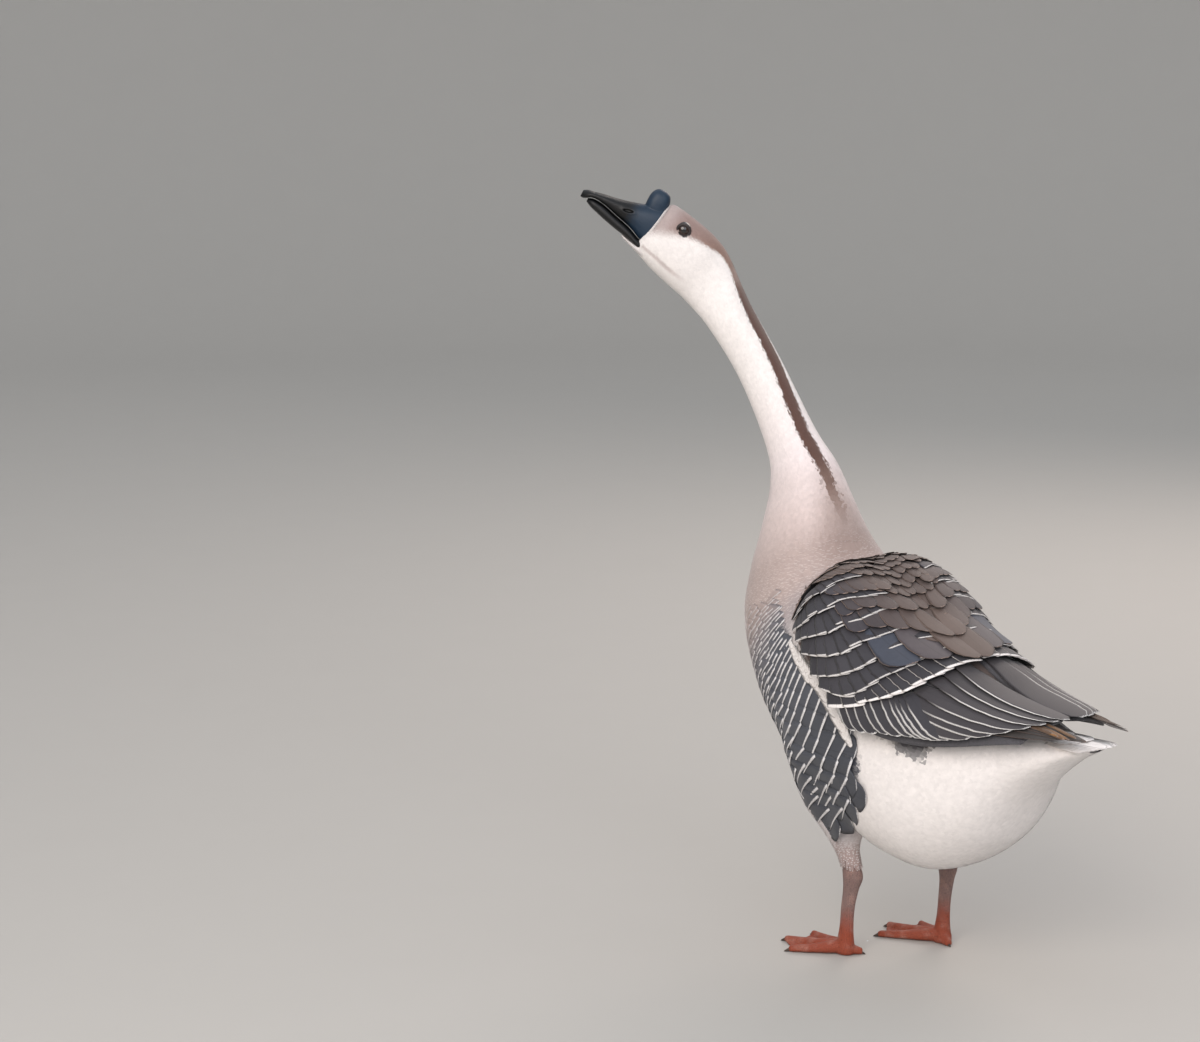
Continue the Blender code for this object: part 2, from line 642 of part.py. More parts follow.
def tail_vane(turn, width, length, height, tilt):
    # A tail feather; those in the middle lie over their outer neighbours
    shape_at, shape = zip(*VANE_SHAPE)
    heading = math.radians(turn)
    along = np.array([math.sin(heading), math.cos(heading), math.tan(math.radians(TAIL_LIFT))])
    sideways = np.array([math.cos(heading), -math.sin(heading), 0.0])

    def place(t, u):
        reach = length * (0.25 + 0.75 * t)
        lateral = (u - 0.5) * width * np.interp(t, shape_at, shape)
        point = np.array(TAIL_ROOT) + along * reach + sideways * lateral
        point[2] += height - tilt * lateral - 1.1 * point[0] ** 2
        return point, np.array([0.0, 0.0, 1.0])

    return vane_mesh(place, 4)


def build_tail():
    # The coverts' cone behind the rump with the feathers over it
    tail = link("tail", *body_mesh(0.0, TORSO_SPAN[0] - 0.01, 9), "plumage_white")
    chance = random.Random(5)
    vanes = []
    for i in range(TAIL_FEATHERS):
        place = 2 * i / (TAIL_FEATHERS - 1) - 1
        length = TAIL_LENGTH * (1 - 0.06 * place**2) + chance.uniform(-0.001, 0.001)
        vanes.append(tail_vane(TAIL_FAN * place, TAIL_WIDTH, length, -0.0040 * abs(place),
                               math.copysign(0.07, place) if place else 0.0))
    for i in range(TAIL_COVERTS):
        place = 2 * i / (TAIL_COVERTS - 1) - 1
        length = TAIL_LENGTH * (0.66 - 0.05 * place**2) + chance.uniform(-0.003, 0.003)
        vanes.append(tail_vane(TAIL_FAN * 0.8 * place, TAIL_WIDTH * 1.15, length, 0.0028 - 0.002 * abs(place),
                               0.08 * place))
    return boolean(tail, [link("vane", *vane) for vane in vanes], "UNION", "MANIFOLD")


def clear(item, *others):
    # Cuts item back so that it keeps the gap to others
    return boolean(item, [grown(other) for other in others], "DIFFERENCE")


def settle(items):
    # Moves the whole model so that the origin is the bottom centre of its box
    corners = np.array([v.co for item in items for v in item.data.vertices])
    low, high = corners.min(0), corners.max(0)
    shift = Vector((-(low[0] + high[0]) / 2, -(low[1] + high[1]) / 2, -low[2]))
    for item in items:
        item.data.transform(Matrix.Translation(shift))


def build_all():
    first, last = TORSO_SPAN
    torso = link("torso", *body_mesh(first, last, 30), "plumage_fawn")
    neck_lower = link("neck_lower", *body_mesh(last, NECK_SPLIT, 11, GAP), "plumage_fawn")
    neck_upper = link("neck_upper", *body_mesh(NECK_SPLIT, HEAD_START, 10, GAP), "plumage_fawn")
    head = link("head", *body_mesh(HEAD_START, len(BODY_TABLE) - 1, 19, GAP), "plumage_white")
    boolean(head, [link("chin", *bill_mesh(CHIN, 7, 12)), build_lid(1), build_lid(-1)], "UNION")
    eyes = [build_eye("eye_left", 1), build_eye("eye_right", -1)]
    clear(head, *eyes)

    upper = link("bill_upper", *bill_mesh(UPPER_BILL), "horn_black")
    boolean(upper, [build_knob()], "UNION")
    boolean(upper, [build_nostril(1), build_nostril(-1)], "DIFFERENCE")
    clear(upper, head)
    lower = link("bill_lower", *bill_mesh(LOWER_BILL, 10, 14), "horn_black")
    clear(lower, head)

    tail = build_tail()
    clear(tail, torso)
    wings = [build_wing(1, "wing_left", 11), build_wing(-1, "wing_right", 23)]
    for wing, side in zip(wings, (1, -1)):
        far_side = box("far_side", (min(MIDDLE * side, -side), -1, -1), (max(MIDDLE * side, -side), 1, 1))
        boolean(wing, [far_side], "DIFFERENCE")
        clear(wing, torso, tail)

    feet = [build_foot("foot_left", LEFT_FOOT, -1), build_foot("foot_right", RIGHT_FOOT, 1)]
    legs = [link("leg_left", *leg_mesh(*LEFT_FOOT, 0.21), "leg_orange"),
            link("leg_right", *leg_mesh(*RIGHT_FOOT, 0.21), "leg_orange")]
    for leg in legs:
        clear(leg, torso)
    settle([torso, neck_lower, neck_upper, head, upper, lower, tail, *eyes, *wings, *feet, *legs])


def main():
    for item in list(bpy.data.objects):
        bpy.data.objects.remove(item)
    build_all()


if __name__ == "__main__":
    main()
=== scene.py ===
import math
import time

import bmesh
import bpy
import numpy as np
from mathutils import Matrix, Vector
from mathutils.bvhtree import BVHTree
from mathutils.kdtree import KDTree


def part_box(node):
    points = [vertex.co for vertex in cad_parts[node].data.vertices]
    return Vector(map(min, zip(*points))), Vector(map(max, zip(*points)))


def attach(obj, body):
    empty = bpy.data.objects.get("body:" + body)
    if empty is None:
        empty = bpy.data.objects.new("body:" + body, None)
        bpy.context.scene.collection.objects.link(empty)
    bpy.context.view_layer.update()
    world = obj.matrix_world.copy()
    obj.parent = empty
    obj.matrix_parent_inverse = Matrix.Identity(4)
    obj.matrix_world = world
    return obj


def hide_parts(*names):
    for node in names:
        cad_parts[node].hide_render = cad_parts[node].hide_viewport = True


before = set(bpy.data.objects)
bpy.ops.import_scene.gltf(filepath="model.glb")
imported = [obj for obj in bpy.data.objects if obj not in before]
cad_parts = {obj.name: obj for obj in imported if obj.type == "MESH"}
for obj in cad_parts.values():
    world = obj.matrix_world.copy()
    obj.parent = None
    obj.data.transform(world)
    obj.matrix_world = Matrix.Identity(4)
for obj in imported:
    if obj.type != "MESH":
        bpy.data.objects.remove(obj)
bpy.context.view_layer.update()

started = time.time()


def report(text):
    print(f"stage {text}, {time.time() - started:.0f} s")


def linear(text):
    # Linear red, green and blue of an sRGB hex colour
    parts = [int(text[i:i + 2], 16) / 255 for i in (1, 3, 5)]
    return np.array([c / 12.92 if c <= 0.04045 else ((c + 0.055) / 1.055) ** 2.4 for c in parts])


def smoothCurve(knots, values, at):
    # A smooth curve through values at knots, for every number in at
    knots, values = np.asarray(knots, float), np.asarray(values, float)
    at = np.clip(np.asarray(at, float), knots[0], knots[-1])
    steps = np.diff(knots)
    slopes = np.diff(values, axis=0) / steps[:, None]
    tangents = np.vstack([slopes[:1], (slopes[1:] + slopes[:-1]) / 2, slopes[-1:]])
    i = np.clip(np.searchsorted(knots, at, side="right") - 1, 0, len(steps) - 1)
    h = steps[i][:, None]
    t = ((at - knots[i]) / steps[i])[:, None]
    return ((2 * t**3 - 3 * t**2 + 1) * values[i] + (t**3 - 2 * t**2 + t) * h * tangents[i]
            + (3 * t**2 - 2 * t**3) * values[i + 1] + (t**3 - t**2) * h * tangents[i + 1])


def ramp(value, low, high):
    # 0 below low, 1 above high and smooth between; it falls where high is under low
    t = np.clip((value - low) / (high - low), 0, 1)
    return t * t * (3 - 2 * t)


def circle(count):
    # The angles of evenly spread points of a circle
    return np.arange(count) * math.tau / count


def bent(value, power):
    return np.sign(value) * np.abs(value) ** power


def mix(a, b, share):
    share = np.asarray(share, float)
    return a + (b - a) * share[..., None]


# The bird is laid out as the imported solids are, from the ground between the feet. Metres, the bird
# faces -Y and its own left is +X. Moved is what takes these places to the frame's own.
head = {"eyes": (0.0599, -0.3399, 0.8741), "yaw": 50.0, "pitch": 28.0, "eyeOut": 0.0196, "eyeRadius": 0.0100}


def headAxes():
    yaw, pitch = math.radians(head["yaw"]), math.radians(head["pitch"])
    ahead = np.array([math.sin(yaw) * math.cos(pitch), -math.cos(yaw) * math.cos(pitch), math.sin(pitch)])
    above = np.array([-math.sin(yaw) * math.sin(pitch), math.cos(yaw) * math.sin(pitch), math.cos(pitch)])
    return ahead, above, np.array([math.cos(yaw), math.sin(yaw), 0.0])


def headPoint(forward, up, out):
    # Points given from between the eyes, along and across the head's own axes
    ahead, above, left = headAxes()
    forward, up, out = np.broadcast_arrays(forward, up, out)
    return (np.array(head["eyes"]) + forward[..., None] * ahead + up[..., None] * above
            + out[..., None] * left)


def movedBy():
    low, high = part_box("eye_left")
    return (np.array(low) + np.array(high)) / 2 - headPoint(0.0, 0.0, head["eyeOut"])


moved = movedBy()


def rib(dorsal, ventral, halfWidth, belt=0.5):
    # A section of the trunk between a point of the back and one of the belly, each (y, z)
    (dy, dz), (vy, vz) = dorsal, ventral
    tall = math.hypot(dy - vy, dz - vz)
    pitch = math.degrees(math.atan2(dy - vy, dz - vz))
    return [0, vy + (dy - vy) * belt, vz + (dz - vz) * belt, 0, pitch, halfWidth,
            tall * (1 - belt), tall * belt]


def ring(centre, yaw, pitch, halfWidth, depth):
    return [*centre, yaw, pitch, halfWidth, depth, depth]


def headRib(dorsal, ventral, halfWidth):
    (df, du), (vf, vu) = dorsal, ventral
    centre = headPoint((df + vf) / 2, (du + vu) / 2, 0.0)
    pitch = head["pitch"] + math.degrees(math.atan2(vf - df, du - vu))
    half = math.hypot(df - vf, du - vu) / 2
    return [*centre, head["yaw"], pitch, halfWidth, half, half]


# Sections from the tail to the bill: centre, yaw and pitch, half width, reach to back and belly
bodyTable = np.array([
    rib((0.318, 0.320), (0.318, 0.312), 0.014),
    rib((0.272, 0.321), (0.274, 0.286), 0.037),
    rib((0.225, 0.333), (0.222, 0.240), 0.060, 0.55),
    rib((0.180, 0.354), (0.174, 0.170), 0.090, 0.50),
    rib((0.130, 0.380), (0.105, 0.128), 0.114, 0.48),
    rib((0.075, 0.406), (0.045, 0.130), 0.127, 0.48),
    rib((0.020, 0.431), (-0.013, 0.150), 0.129, 0.50),
    rib((-0.030, 0.454), (-0.079, 0.192), 0.127, 0.52),
    rib((-0.060, 0.470), (-0.147, 0.250), 0.118, 0.52),
    rib((-0.078, 0.483), (-0.200, 0.318), 0.104, 0.50),
    rib((-0.090, 0.498), (-0.231, 0.388), 0.089, 0.50),
    rib((-0.101, 0.520), (-0.233, 0.450), 0.071, 0.50),
    rib((-0.113, 0.549), (-0.225, 0.503), 0.055, 0.50),
    ring((0, -0.1775, 0.5750), 2, 66, 0.0405, 0.0440),
    ring((0.002, -0.2000, 0.6175), 6, 61, 0.0315, 0.0320),
    ring((0.009, -0.2490, 0.6985), 15, 57, 0.0270, 0.0280),
    ring((0.026, -0.2898, 0.7658), 26, 54, 0.0285, 0.0300),
    headRib((-0.068, -0.004), (-0.044, -0.079), 0.0305),
    headRib((-0.040, 0.0095), (-0.018, -0.0725), 0.0325),
    headRib((-0.010, 0.0165), (0.008, -0.0655), 0.0315),
    headRib((0.013, 0.0200), (0.024, -0.0600), 0.0270),
    headRib((0.026, 0.0195), (0.0385, -0.0540), 0.0205),
    headRib((0.0325, 0.0100), (0.0440, -0.0480), 0.0140),
])
bodyKnots = np.arange(len(bodyTable))
bodyEnd = len(bodyTable) - 1.0
bodySquare = 2.25


def bodyPoint(at, angle):
    # Points of the body's outline; angle 0 is the bird's left and a quarter turn its back
    row = smoothCurve(bodyKnots, bodyTable, at)
    yaw, pitch = np.radians(row[:, 3]), np.radians(row[:, 4])
    c, s = np.cos(angle), np.sin(angle)
    across = bent(c, 2 / bodySquare) * row[:, 5]
    high = bent(s, 2 / bodySquare) * np.where(s > 0, row[:, 6], row[:, 7])
    return np.stack([row[:, 0] + np.cos(yaw) * across - np.sin(yaw) * np.sin(pitch) * high,
                     row[:, 1] + np.sin(yaw) * across + np.cos(yaw) * np.sin(pitch) * high,
                     row[:, 2] + np.cos(pitch) * high], 1)


body = {"point": bodyPoint, "turn": -1, "flow": -1, "steps": (0.01, 0.01)}

# Folded wing by y: half width and height of its arc, middle height, squareness, upper and lower angle
wingTable = np.array([
    (-0.088, 0.108, 0.096, 0.361, 2.4, 34, 62),
    (-0.060, 0.127, 0.129, 0.353, 2.8, 19, 68),
    (-0.030, 0.138, 0.138, 0.339, 2.9, 13, 73),
    (0.010, 0.145, 0.132, 0.322, 2.6, 9, 79),
    (0.050, 0.146, 0.122, 0.304, 2.2, 6, 83),
    (0.090, 0.144, 0.106, 0.300, 2.1, 5, 86),
    (0.140, 0.133, 0.085, 0.300, 2.0, 4, 87),
    (0.190, 0.116, 0.056, 0.308, 2.0, 3, 89),
    (0.235, 0.094, 0.036, 0.317, 2.0, 2, 90),
    (0.275, 0.074, 0.023, 0.323, 2.0, 2, 88),
    (0.310, 0.056, 0.014, 0.326, 2.0, 8, 84),
    (0.336, 0.046, 0.009, 0.328, 2.0, 36, 76),
])


def wingSurface(side):
    def point(y, across):
        row = smoothCurve(wingTable[:, 0], wingTable[:, 1:], y)
        wide, tall, full = row[:, 0], row[:, 1], row[:, 3]
        turn = np.radians(row[:, 4] + (row[:, 5] - row[:, 4]) * across)
        return np.stack([side * wide * bent(np.sin(turn), 2 / full), y,
                         row[:, 2] + tall * bent(np.cos(turn), 2 / full)], 1)

    return {"point": point, "turn": -side, "flow": 1, "steps": (0.0005, 0.004)}


def lengthOf(vectors):
    return np.linalg.norm(vectors, axis=-1, keepdims=True)


def frameOn(surface, p, q):
    # Place, the two slopes and the outward direction of a surface
    point, (stepP, stepQ) = surface["point"], surface["steps"]
    byP = (point(p + stepP, q) - point(p - stepP, q)) / (2 * stepP)
    byQ = (point(p, q + stepQ) - point(p, q - stepQ)) / (2 * stepQ)
    out = np.cross(byP, byQ) * surface["turn"]
    return byP, byQ, out / np.maximum(lengthOf(out), 1e-12)


def moveIn(byP, byQ, move):
    # The change of p and q that makes a small move along the surface
    e, f, g = (byP * byP).sum(1), (byP * byQ).sum(1), (byQ * byQ).sum(1)
    a, b = (byP * move).sum(1), (byQ * move).sum(1)
    det = np.maximum(e * g - f * f, 1e-12)
    return (a * g - b * f) / det, (b * e - a * f) / det


vaneOutlines = {
    "contour": ((0, 0.45), (0.3, 0.86), (0.6, 1.0), (0.85, 0.80), (1, 0.30)),
    "round": ((0, 0.45), (0.3, 0.80), (0.6, 0.98), (0.8, 0.97), (0.93, 0.70), (1, 0.22)),
    "long": ((0, 0.55), (0.35, 0.90), (0.7, 1.0), (0.88, 0.82), (0.96, 0.52), (1, 0.14)),
    "blunt": ((0, 0.50), (0.3, 0.90), (0.6, 1.0), (0.92, 1.0), (0.975, 0.95), (1, 0.84)),
    "tuft": ((0, 0.55), (0.4, 1.0), (0.7, 0.85), (1, 0.15)),
}


def vaneFaces(rows, columns, plainUnder):
    # Triangles of one closed vane: a grid above, and below it either a strip or a second grid
    faces = []

    def quad(a, b, c, d):
        faces.extend([(a, b, c), (a, c, d)])

    for i in range(rows - 1):
        for j in range(columns - 1):
            a = i * columns + j
            quad(a, a + 1, a + columns + 1, a + columns)
    top = len(faces)
    last = columns - 1
    if plainUnder:
        for i in range(rows - 1):
            a = i * columns
            quad(a, a + columns, a + columns + last, a + last)
        for j in range(1, last):
            faces.append((0, j + 1, j))
            end = (rows - 1) * columns
            faces.append((end, end + j, end + j + 1))
    else:
        inner = columns - 2

        def under(i, j):
            return i * columns + j if j in (0, last) else rows * columns + i * inner + j - 1

        for i in range(rows - 1):
            for j in range(last):
                quad(under(i, j), under(i + 1, j), under(i + 1, j + 1), under(i, j + 1))
        for j in range(last):
            for i, order in ((0, 1), (rows - 1, -1)):
                loop = [i * columns + j, under(i, j), under(i, j + 1), i * columns + j + 1][::order]
                loop = [v for k, v in enumerate(loop) if v != loop[k - 1]]
                faces.extend((loop[0], loop[k], loop[k + 1]) for k in range(1, len(loop) - 1))
    return np.array(faces)[:, ::-1], top


def layVanes(surface, group, rows=4, columns=3, shape="contour", thick=None, flip=False):
    # Lays closed feathers on a surface. Group holds, for each: p, q, heading from the surface's flow,
    # length, width, low and high lift, camber, skew of the tip, colours and the place on the bake map.
    count = len(group["p"])
    p, q = group["p"].astype(float).copy(), group["q"].astype(float).copy()
    length, width = group["length"], group["width"]
    along = 1 - np.linspace(1, 0, rows) ** (1.35 if rows > 4 else 1.0)
    sides = np.linspace(-1, 1, columns)
    shapeAt, shapeWide = zip(*vaneOutlines[shape])
    points = np.zeros((count, rows, columns, 3))
    lower = np.zeros((count, rows, columns, 3))
    outward = np.zeros((count, rows, columns, 3))
    chance = np.random.default_rng(count + rows)
    ahead = None
    for k, v in enumerate(along):
        byP, byQ, out = frameOn(surface, p, q)
        if ahead is None:
            ahead = byP * surface["flow"]
            ahead /= lengthOf(ahead)
            side = np.cross(out, ahead)
            turn = group["heading"][:, None]
            ahead = ahead * np.cos(turn) + side * np.sin(turn)
        else:
            ahead = ahead - out * (ahead * out).sum(1)[:, None]
            curve = group["bend"] * (v - along[k - 1])
            ahead = ahead / lengthOf(ahead) + np.cross(out, ahead) * curve[:, None]
            ahead /= lengthOf(ahead)
        side = np.cross(out, ahead)
        wide = width / 2 * np.interp(v, shapeAt, shapeWide)
        wide = wide * (1 + chance.uniform(-0.04, 0.04, count))
        lift = group["low"] + (group["high"] - group["low"]) * v ** 0.8
        for j, u in enumerate(sides):
            aside = u * wide
            shift = group["skew"] * aside * v * v
            dp, dq = moveIn(byP, byQ, side * aside[:, None] + ahead * shift[:, None])
            rise = lift + group["camber"] * wide * 2 * (1 - u * u) + group["tilt"] * u * wide
            points[:, k, j] = surface["point"](p + dp, q + dq) + out * rise[:, None]
            outward[:, k, j] = out
            if thick is not None and 0 < j < columns - 1:
                lower[:, k, j] = points[:, k, j] - out * (thick * (1 - 0.5 * v))
        if k + 1 < rows:
            dp, dq = moveIn(byP, byQ, ahead * (length * (along[k + 1] - v))[:, None])
            p, q = p + dp, q + dq
    faces, top = vaneFaces(rows, columns, thick is None)
    places = points.reshape(count, -1, 3)
    across, down = np.meshgrid((1 - sides if flip else 1 + sides) / 2, along, indexing="xy")
    spots = np.stack([across.ravel(), down.ravel()], 1)
    if thick is not None:
        places = np.concatenate([places, lower[:, :, 1:-1].reshape(count, -1, 3)], 1)
        inner = np.stack([across[:, 1:-1].ravel(), down[:, 1:-1].ravel()], 1)
        spots = np.concatenate([spots, inner])
    own = np.cross(np.gradient(points, axis=1), np.gradient(points, axis=2))
    own /= np.maximum(lengthOf(own), 1e-12)
    own *= np.sign((own * outward).sum(-1, keepdims=True))
    return {"places": places, "faces": faces, "top": top, "spots": spots, "base": group["base"],
            "normals": (0.75 * outward + 0.25 * own).reshape(count, -1, 3),
            "edge": group["edge"], "edgeWidth": group["edgeWidth"], "innerEdge": group["innerEdge"],
            "tipWidth": group["tipWidth"],
            "bake": group["bake"], "bakeSize": group.get("bakeSize", np.full((count, 2), 0.003))}


def layer(p, q, **values):
    # A group of feathers with every value spread over all of them
    p = np.atleast_1d(np.asarray(p, float))
    count = len(p)
    group = {"p": p, "q": np.asarray(q, float)}
    usual = {"heading": 0.0, "length": 0.01, "width": 0.006, "low": -0.002, "high": 0.0, "camber": 0.06,
             "tilt": 0.0, "skew": 0.0, "bend": 0.0, "edgeWidth": 0.0, "tipWidth": 0.0, "innerEdge": 1.0}
    for name, value in {**usual, **values}.items():
        value = np.asarray(value, float)
        wide = name in ("base", "edge", "bake", "bakeSize")
        group[name] = np.broadcast_to(value, (count, value.shape[-1]) if wide else (count,)).copy()
    return group


def vaneObject(name, laid, material, soft=False):
    # One mesh object from laid groups of feathers; soft ones take most of their shading from the body
    places, faces, sharp, spots, bakes, marking, edging, tips = [], [], [], [], [], [], [], []
    start = 0
    for part in laid:
        count, each = part["places"].shape[:2]
        if not count:
            continue
        numbers = start + np.arange(count)[:, None, None] * each
        corners = (part["faces"][None] + numbers).reshape(-1, 3)
        places.append(part["places"].reshape(-1, 3))
        faces.append(corners)
        under = np.arange(len(part["faces"])) >= part["top"]
        sharp.append(np.tile(under, count))
        local = part["spots"][part["faces"]]
        spots.append(np.tile(local.reshape(-1, 2), (count, 1)))
        offset = (local.reshape(1, -1, 2) - 0.5) * part["bakeSize"][:, None]
        bakes.append((part["bake"][:, None] + offset).reshape(-1, 2))
        marking.append(np.repeat(np.concatenate([part["base"], part["edgeWidth"][:, None]], 1), each, 0))
        edging.append(np.repeat(np.concatenate([part["edge"], part["innerEdge"][:, None]], 1), each, 0))
        tips.append(np.repeat(part["tipWidth"], each))
        start += count * each
    made = solidMesh(name, np.concatenate(places), np.concatenate(faces))
    mesh = made.data
    for title, values in (("vane", spots), ("OFBake", bakes)):
        values = np.concatenate(values).astype(np.float32)
        mesh.uv_layers.new(name=title).data.foreach_set("uv", values.ravel())
    for title, values in (("marking", marking), ("edging", edging)):
        given = mesh.attributes.new(title, "FLOAT_COLOR", "POINT")
        given.data.foreach_set("color", np.concatenate(values).astype(np.float32).ravel())
    given = mesh.attributes.new("tipWidth", "FLOAT", "POINT")
    given.data.foreach_set("value", np.concatenate(tips).astype(np.float32))
    if soft:
        normals = np.concatenate([part["normals"].reshape(-1, 3) for part in laid])
        mesh.normals_split_custom_set_from_vertices(normals)
    else:
        flat = mesh.attributes.new("sharp_face", "BOOLEAN", "FACE")
        flat.data.foreach_set("value", np.concatenate(sharp))
    mesh.materials.append(material)
    print(name, len(mesh.polygons), "triangles")
    return made


def tipRow(surface, p, q, heading, length, bend=0.0):
    # Steps back from feather tips to their roots. Returns the roots, the headings there and the skew
    # that turns each tip's edge along the line of tips.
    places = surface["point"](p, q)
    line = np.gradient(places, axis=0) if len(p) > 1 else np.zeros((1, 3))
    p, q, ahead = p.copy(), q.copy(), None
    for _ in range(8):
        byP, byQ, out = frameOn(surface, p, q)
        if ahead is None:
            flow = byP * surface["flow"] / lengthOf(byP)
            ahead = flow * np.cos(heading)[:, None] + np.cross(out, flow) * np.sin(heading)[:, None]
            sideways = np.cross(out, ahead)
            aside = (line * sideways).sum(1)
            skew = (line * ahead).sum(1) / np.where(np.abs(aside) < 1e-6, 1e-6, aside)
        ahead = ahead - out * (ahead * out).sum(1)[:, None]
        ahead = ahead / lengthOf(ahead) - np.cross(out, ahead) * bend / 8
        ahead /= lengthOf(ahead)
        dp, dq = moveIn(byP, byQ, -ahead * (length / 8)[:, None])
        p, q = p + dp, q + dq
    byP, byQ, out = frameOn(surface, p, q)
    flow = byP * surface["flow"] / lengthOf(byP)
    turned = np.arctan2((ahead * np.cross(out, flow)).sum(1), (ahead * flow).sum(1))
    return p, q, turned, np.clip(skew, -1.1, 1.1)


def solidMesh(name, places, faces):
    # A mesh object from points laid out as the bird is and from triangles
    mesh = bpy.data.meshes.new(name)
    mesh.vertices.add(len(places))
    mesh.vertices.foreach_set("co", (places + moved).astype(np.float32).ravel())
    mesh.loops.add(len(faces) * 3)
    mesh.loops.foreach_set("vertex_index", faces.astype(np.int32).ravel())
    mesh.polygons.add(len(faces))
    mesh.polygons.foreach_set("loop_start", np.arange(len(faces), dtype=np.int32) * 3)
    mesh.update(calc_edges=True)
    made = bpy.data.objects.new(name, mesh)
    bpy.context.scene.collection.objects.link(made)
    return made


def tubeFaces(rings, sides):
    i, j = np.meshgrid(np.arange(rings - 1), np.arange(sides), indexing="ij")
    k = (j + 1) % sides
    a, b, c, d = i * sides + j, i * sides + k, (i + 1) * sides + k, (i + 1) * sides + j
    walls = np.concatenate([np.stack([a, b, c], -1).reshape(-1, 3), np.stack([a, c, d], -1).reshape(-1, 3)])
    j = np.arange(sides)
    k, first, last, top = (j + 1) % sides, rings * sides, rings * sides + 1, (rings - 1) * sides
    ends = np.concatenate([np.stack([0 * j + first, k, j], 1), np.stack([0 * j + last, top + j, top + k], 1)])
    return np.concatenate([walls, ends])


def tubeObject(name, points):
    # A closed tube over rings of points, shape (rings, sides, 3), with its faces turned outwards
    rings, sides, _ = points.shape
    flat = np.vstack([points.reshape(-1, 3), points[0].mean(0), points[-1].mean(0)])
    made = solidMesh(name, flat, tubeFaces(rings, sides))
    return faceOut(made)


def faceOut(made):
    work = bmesh.new()
    work.from_mesh(made.data)
    bmesh.ops.recalc_face_normals(work, faces=work.faces)
    if work.calc_volume(signed=True) < 0:
        bmesh.ops.reverse_faces(work, faces=work.faces)
    work.to_mesh(made.data)
    work.free()
    return made


def applyAll(made):
    graph = bpy.context.evaluated_depsgraph_get()
    result = bpy.data.meshes.new_from_object(made.evaluated_get(graph))
    made.modifiers.clear()
    made.data = result
    return made


def joined(made, others, voxel=None, smooth=0):
    # Unites closed pieces; with a voxel size the result is one evenly meshed skin
    if voxel:
        work = bmesh.new()
        for item in [made, *others]:
            work.from_mesh(item.data)
        work.to_mesh(made.data)
        work.free()
        remesh = made.modifiers.new("even skin", "REMESH")
        remesh.mode, remesh.voxel_size, remesh.use_smooth_shade = "VOXEL", voxel, True
        if smooth:
            soften = made.modifiers.new("soften", "SMOOTH")
            soften.factor, soften.iterations = 0.5, smooth
    else:
        group = bpy.data.collections.new("operands")
        for other in others:
            group.objects.link(other)
        bpy.context.scene.collection.children.link(group)
        step = made.modifiers.new("union", "BOOLEAN")
        step.operation, step.solver = "UNION", "MANIFOLD"
        step.operand_type, step.collection = "COLLECTION", group
    applyAll(made)
    for other in others:
        bpy.data.objects.remove(other)
    if not voxel:
        bpy.data.collections.remove(group)
    made.data.shade_smooth()
    return made


def node(tree, kind, sockets=None, **settings):
    # Adds a shader node with its settings. A socket takes a number, a colour, a socket or a node.
    made = tree.nodes.new("ShaderNode" + kind)
    for name, value in settings.items():
        setattr(made, name, value)
    for socket, value in (sockets or {}).items():
        value = value.outputs[0] if isinstance(value, bpy.types.Node) else value
        if isinstance(value, bpy.types.NodeSocket):
            tree.links.new(value, made.inputs[socket])
        else:
            made.inputs[socket].default_value = (*value, 1.0) if isinstance(value, np.ndarray) else value
    return made


def material(name, roughness, **values):
    made = bpy.data.materials.new(name)
    made.use_nodes = True
    shader = made.node_tree.nodes["Principled BSDF"]
    shader.inputs["Roughness"].default_value = roughness
    for socket, value in values.items():
        shader.inputs[socket.replace("_", " ")].default_value = value
    return made, made.node_tree, shader


def joinLook(tree, shader, colour, height=None, depth=0.0, strength=1.0):
    # Joins the last colour and, where there is one, the relief in metres to the shader
    tree.links.new(colour, shader.inputs["Base Color"])
    if depth:
        relief = node(tree, "Bump", {"Distance": depth, "Strength": strength, "Height": height})
        tree.links.new(relief.outputs[0], shader.inputs["Normal"])


# Feathers: keratin vanes, matt with a faint sheen, each with its own colour, a pale fringe and fine barbs
quillLook = {"name": "feather_vanes", "roughness": 0.62, "sheen": 0.12, "barbs": 34.0, "barbShade": 0.04,
             "barbDepth": 0.00012, "shaftShade": 0.80}
# Small contour feathers: softer and matt, too fine to show their barbs
coatLook = {"name": "contour_feathers", "roughness": 0.74, "sheen": 0.25, "barbs": 6.0, "barbShade": 0.012,
            "barbDepth": 0.0, "shaftShade": 0.975}


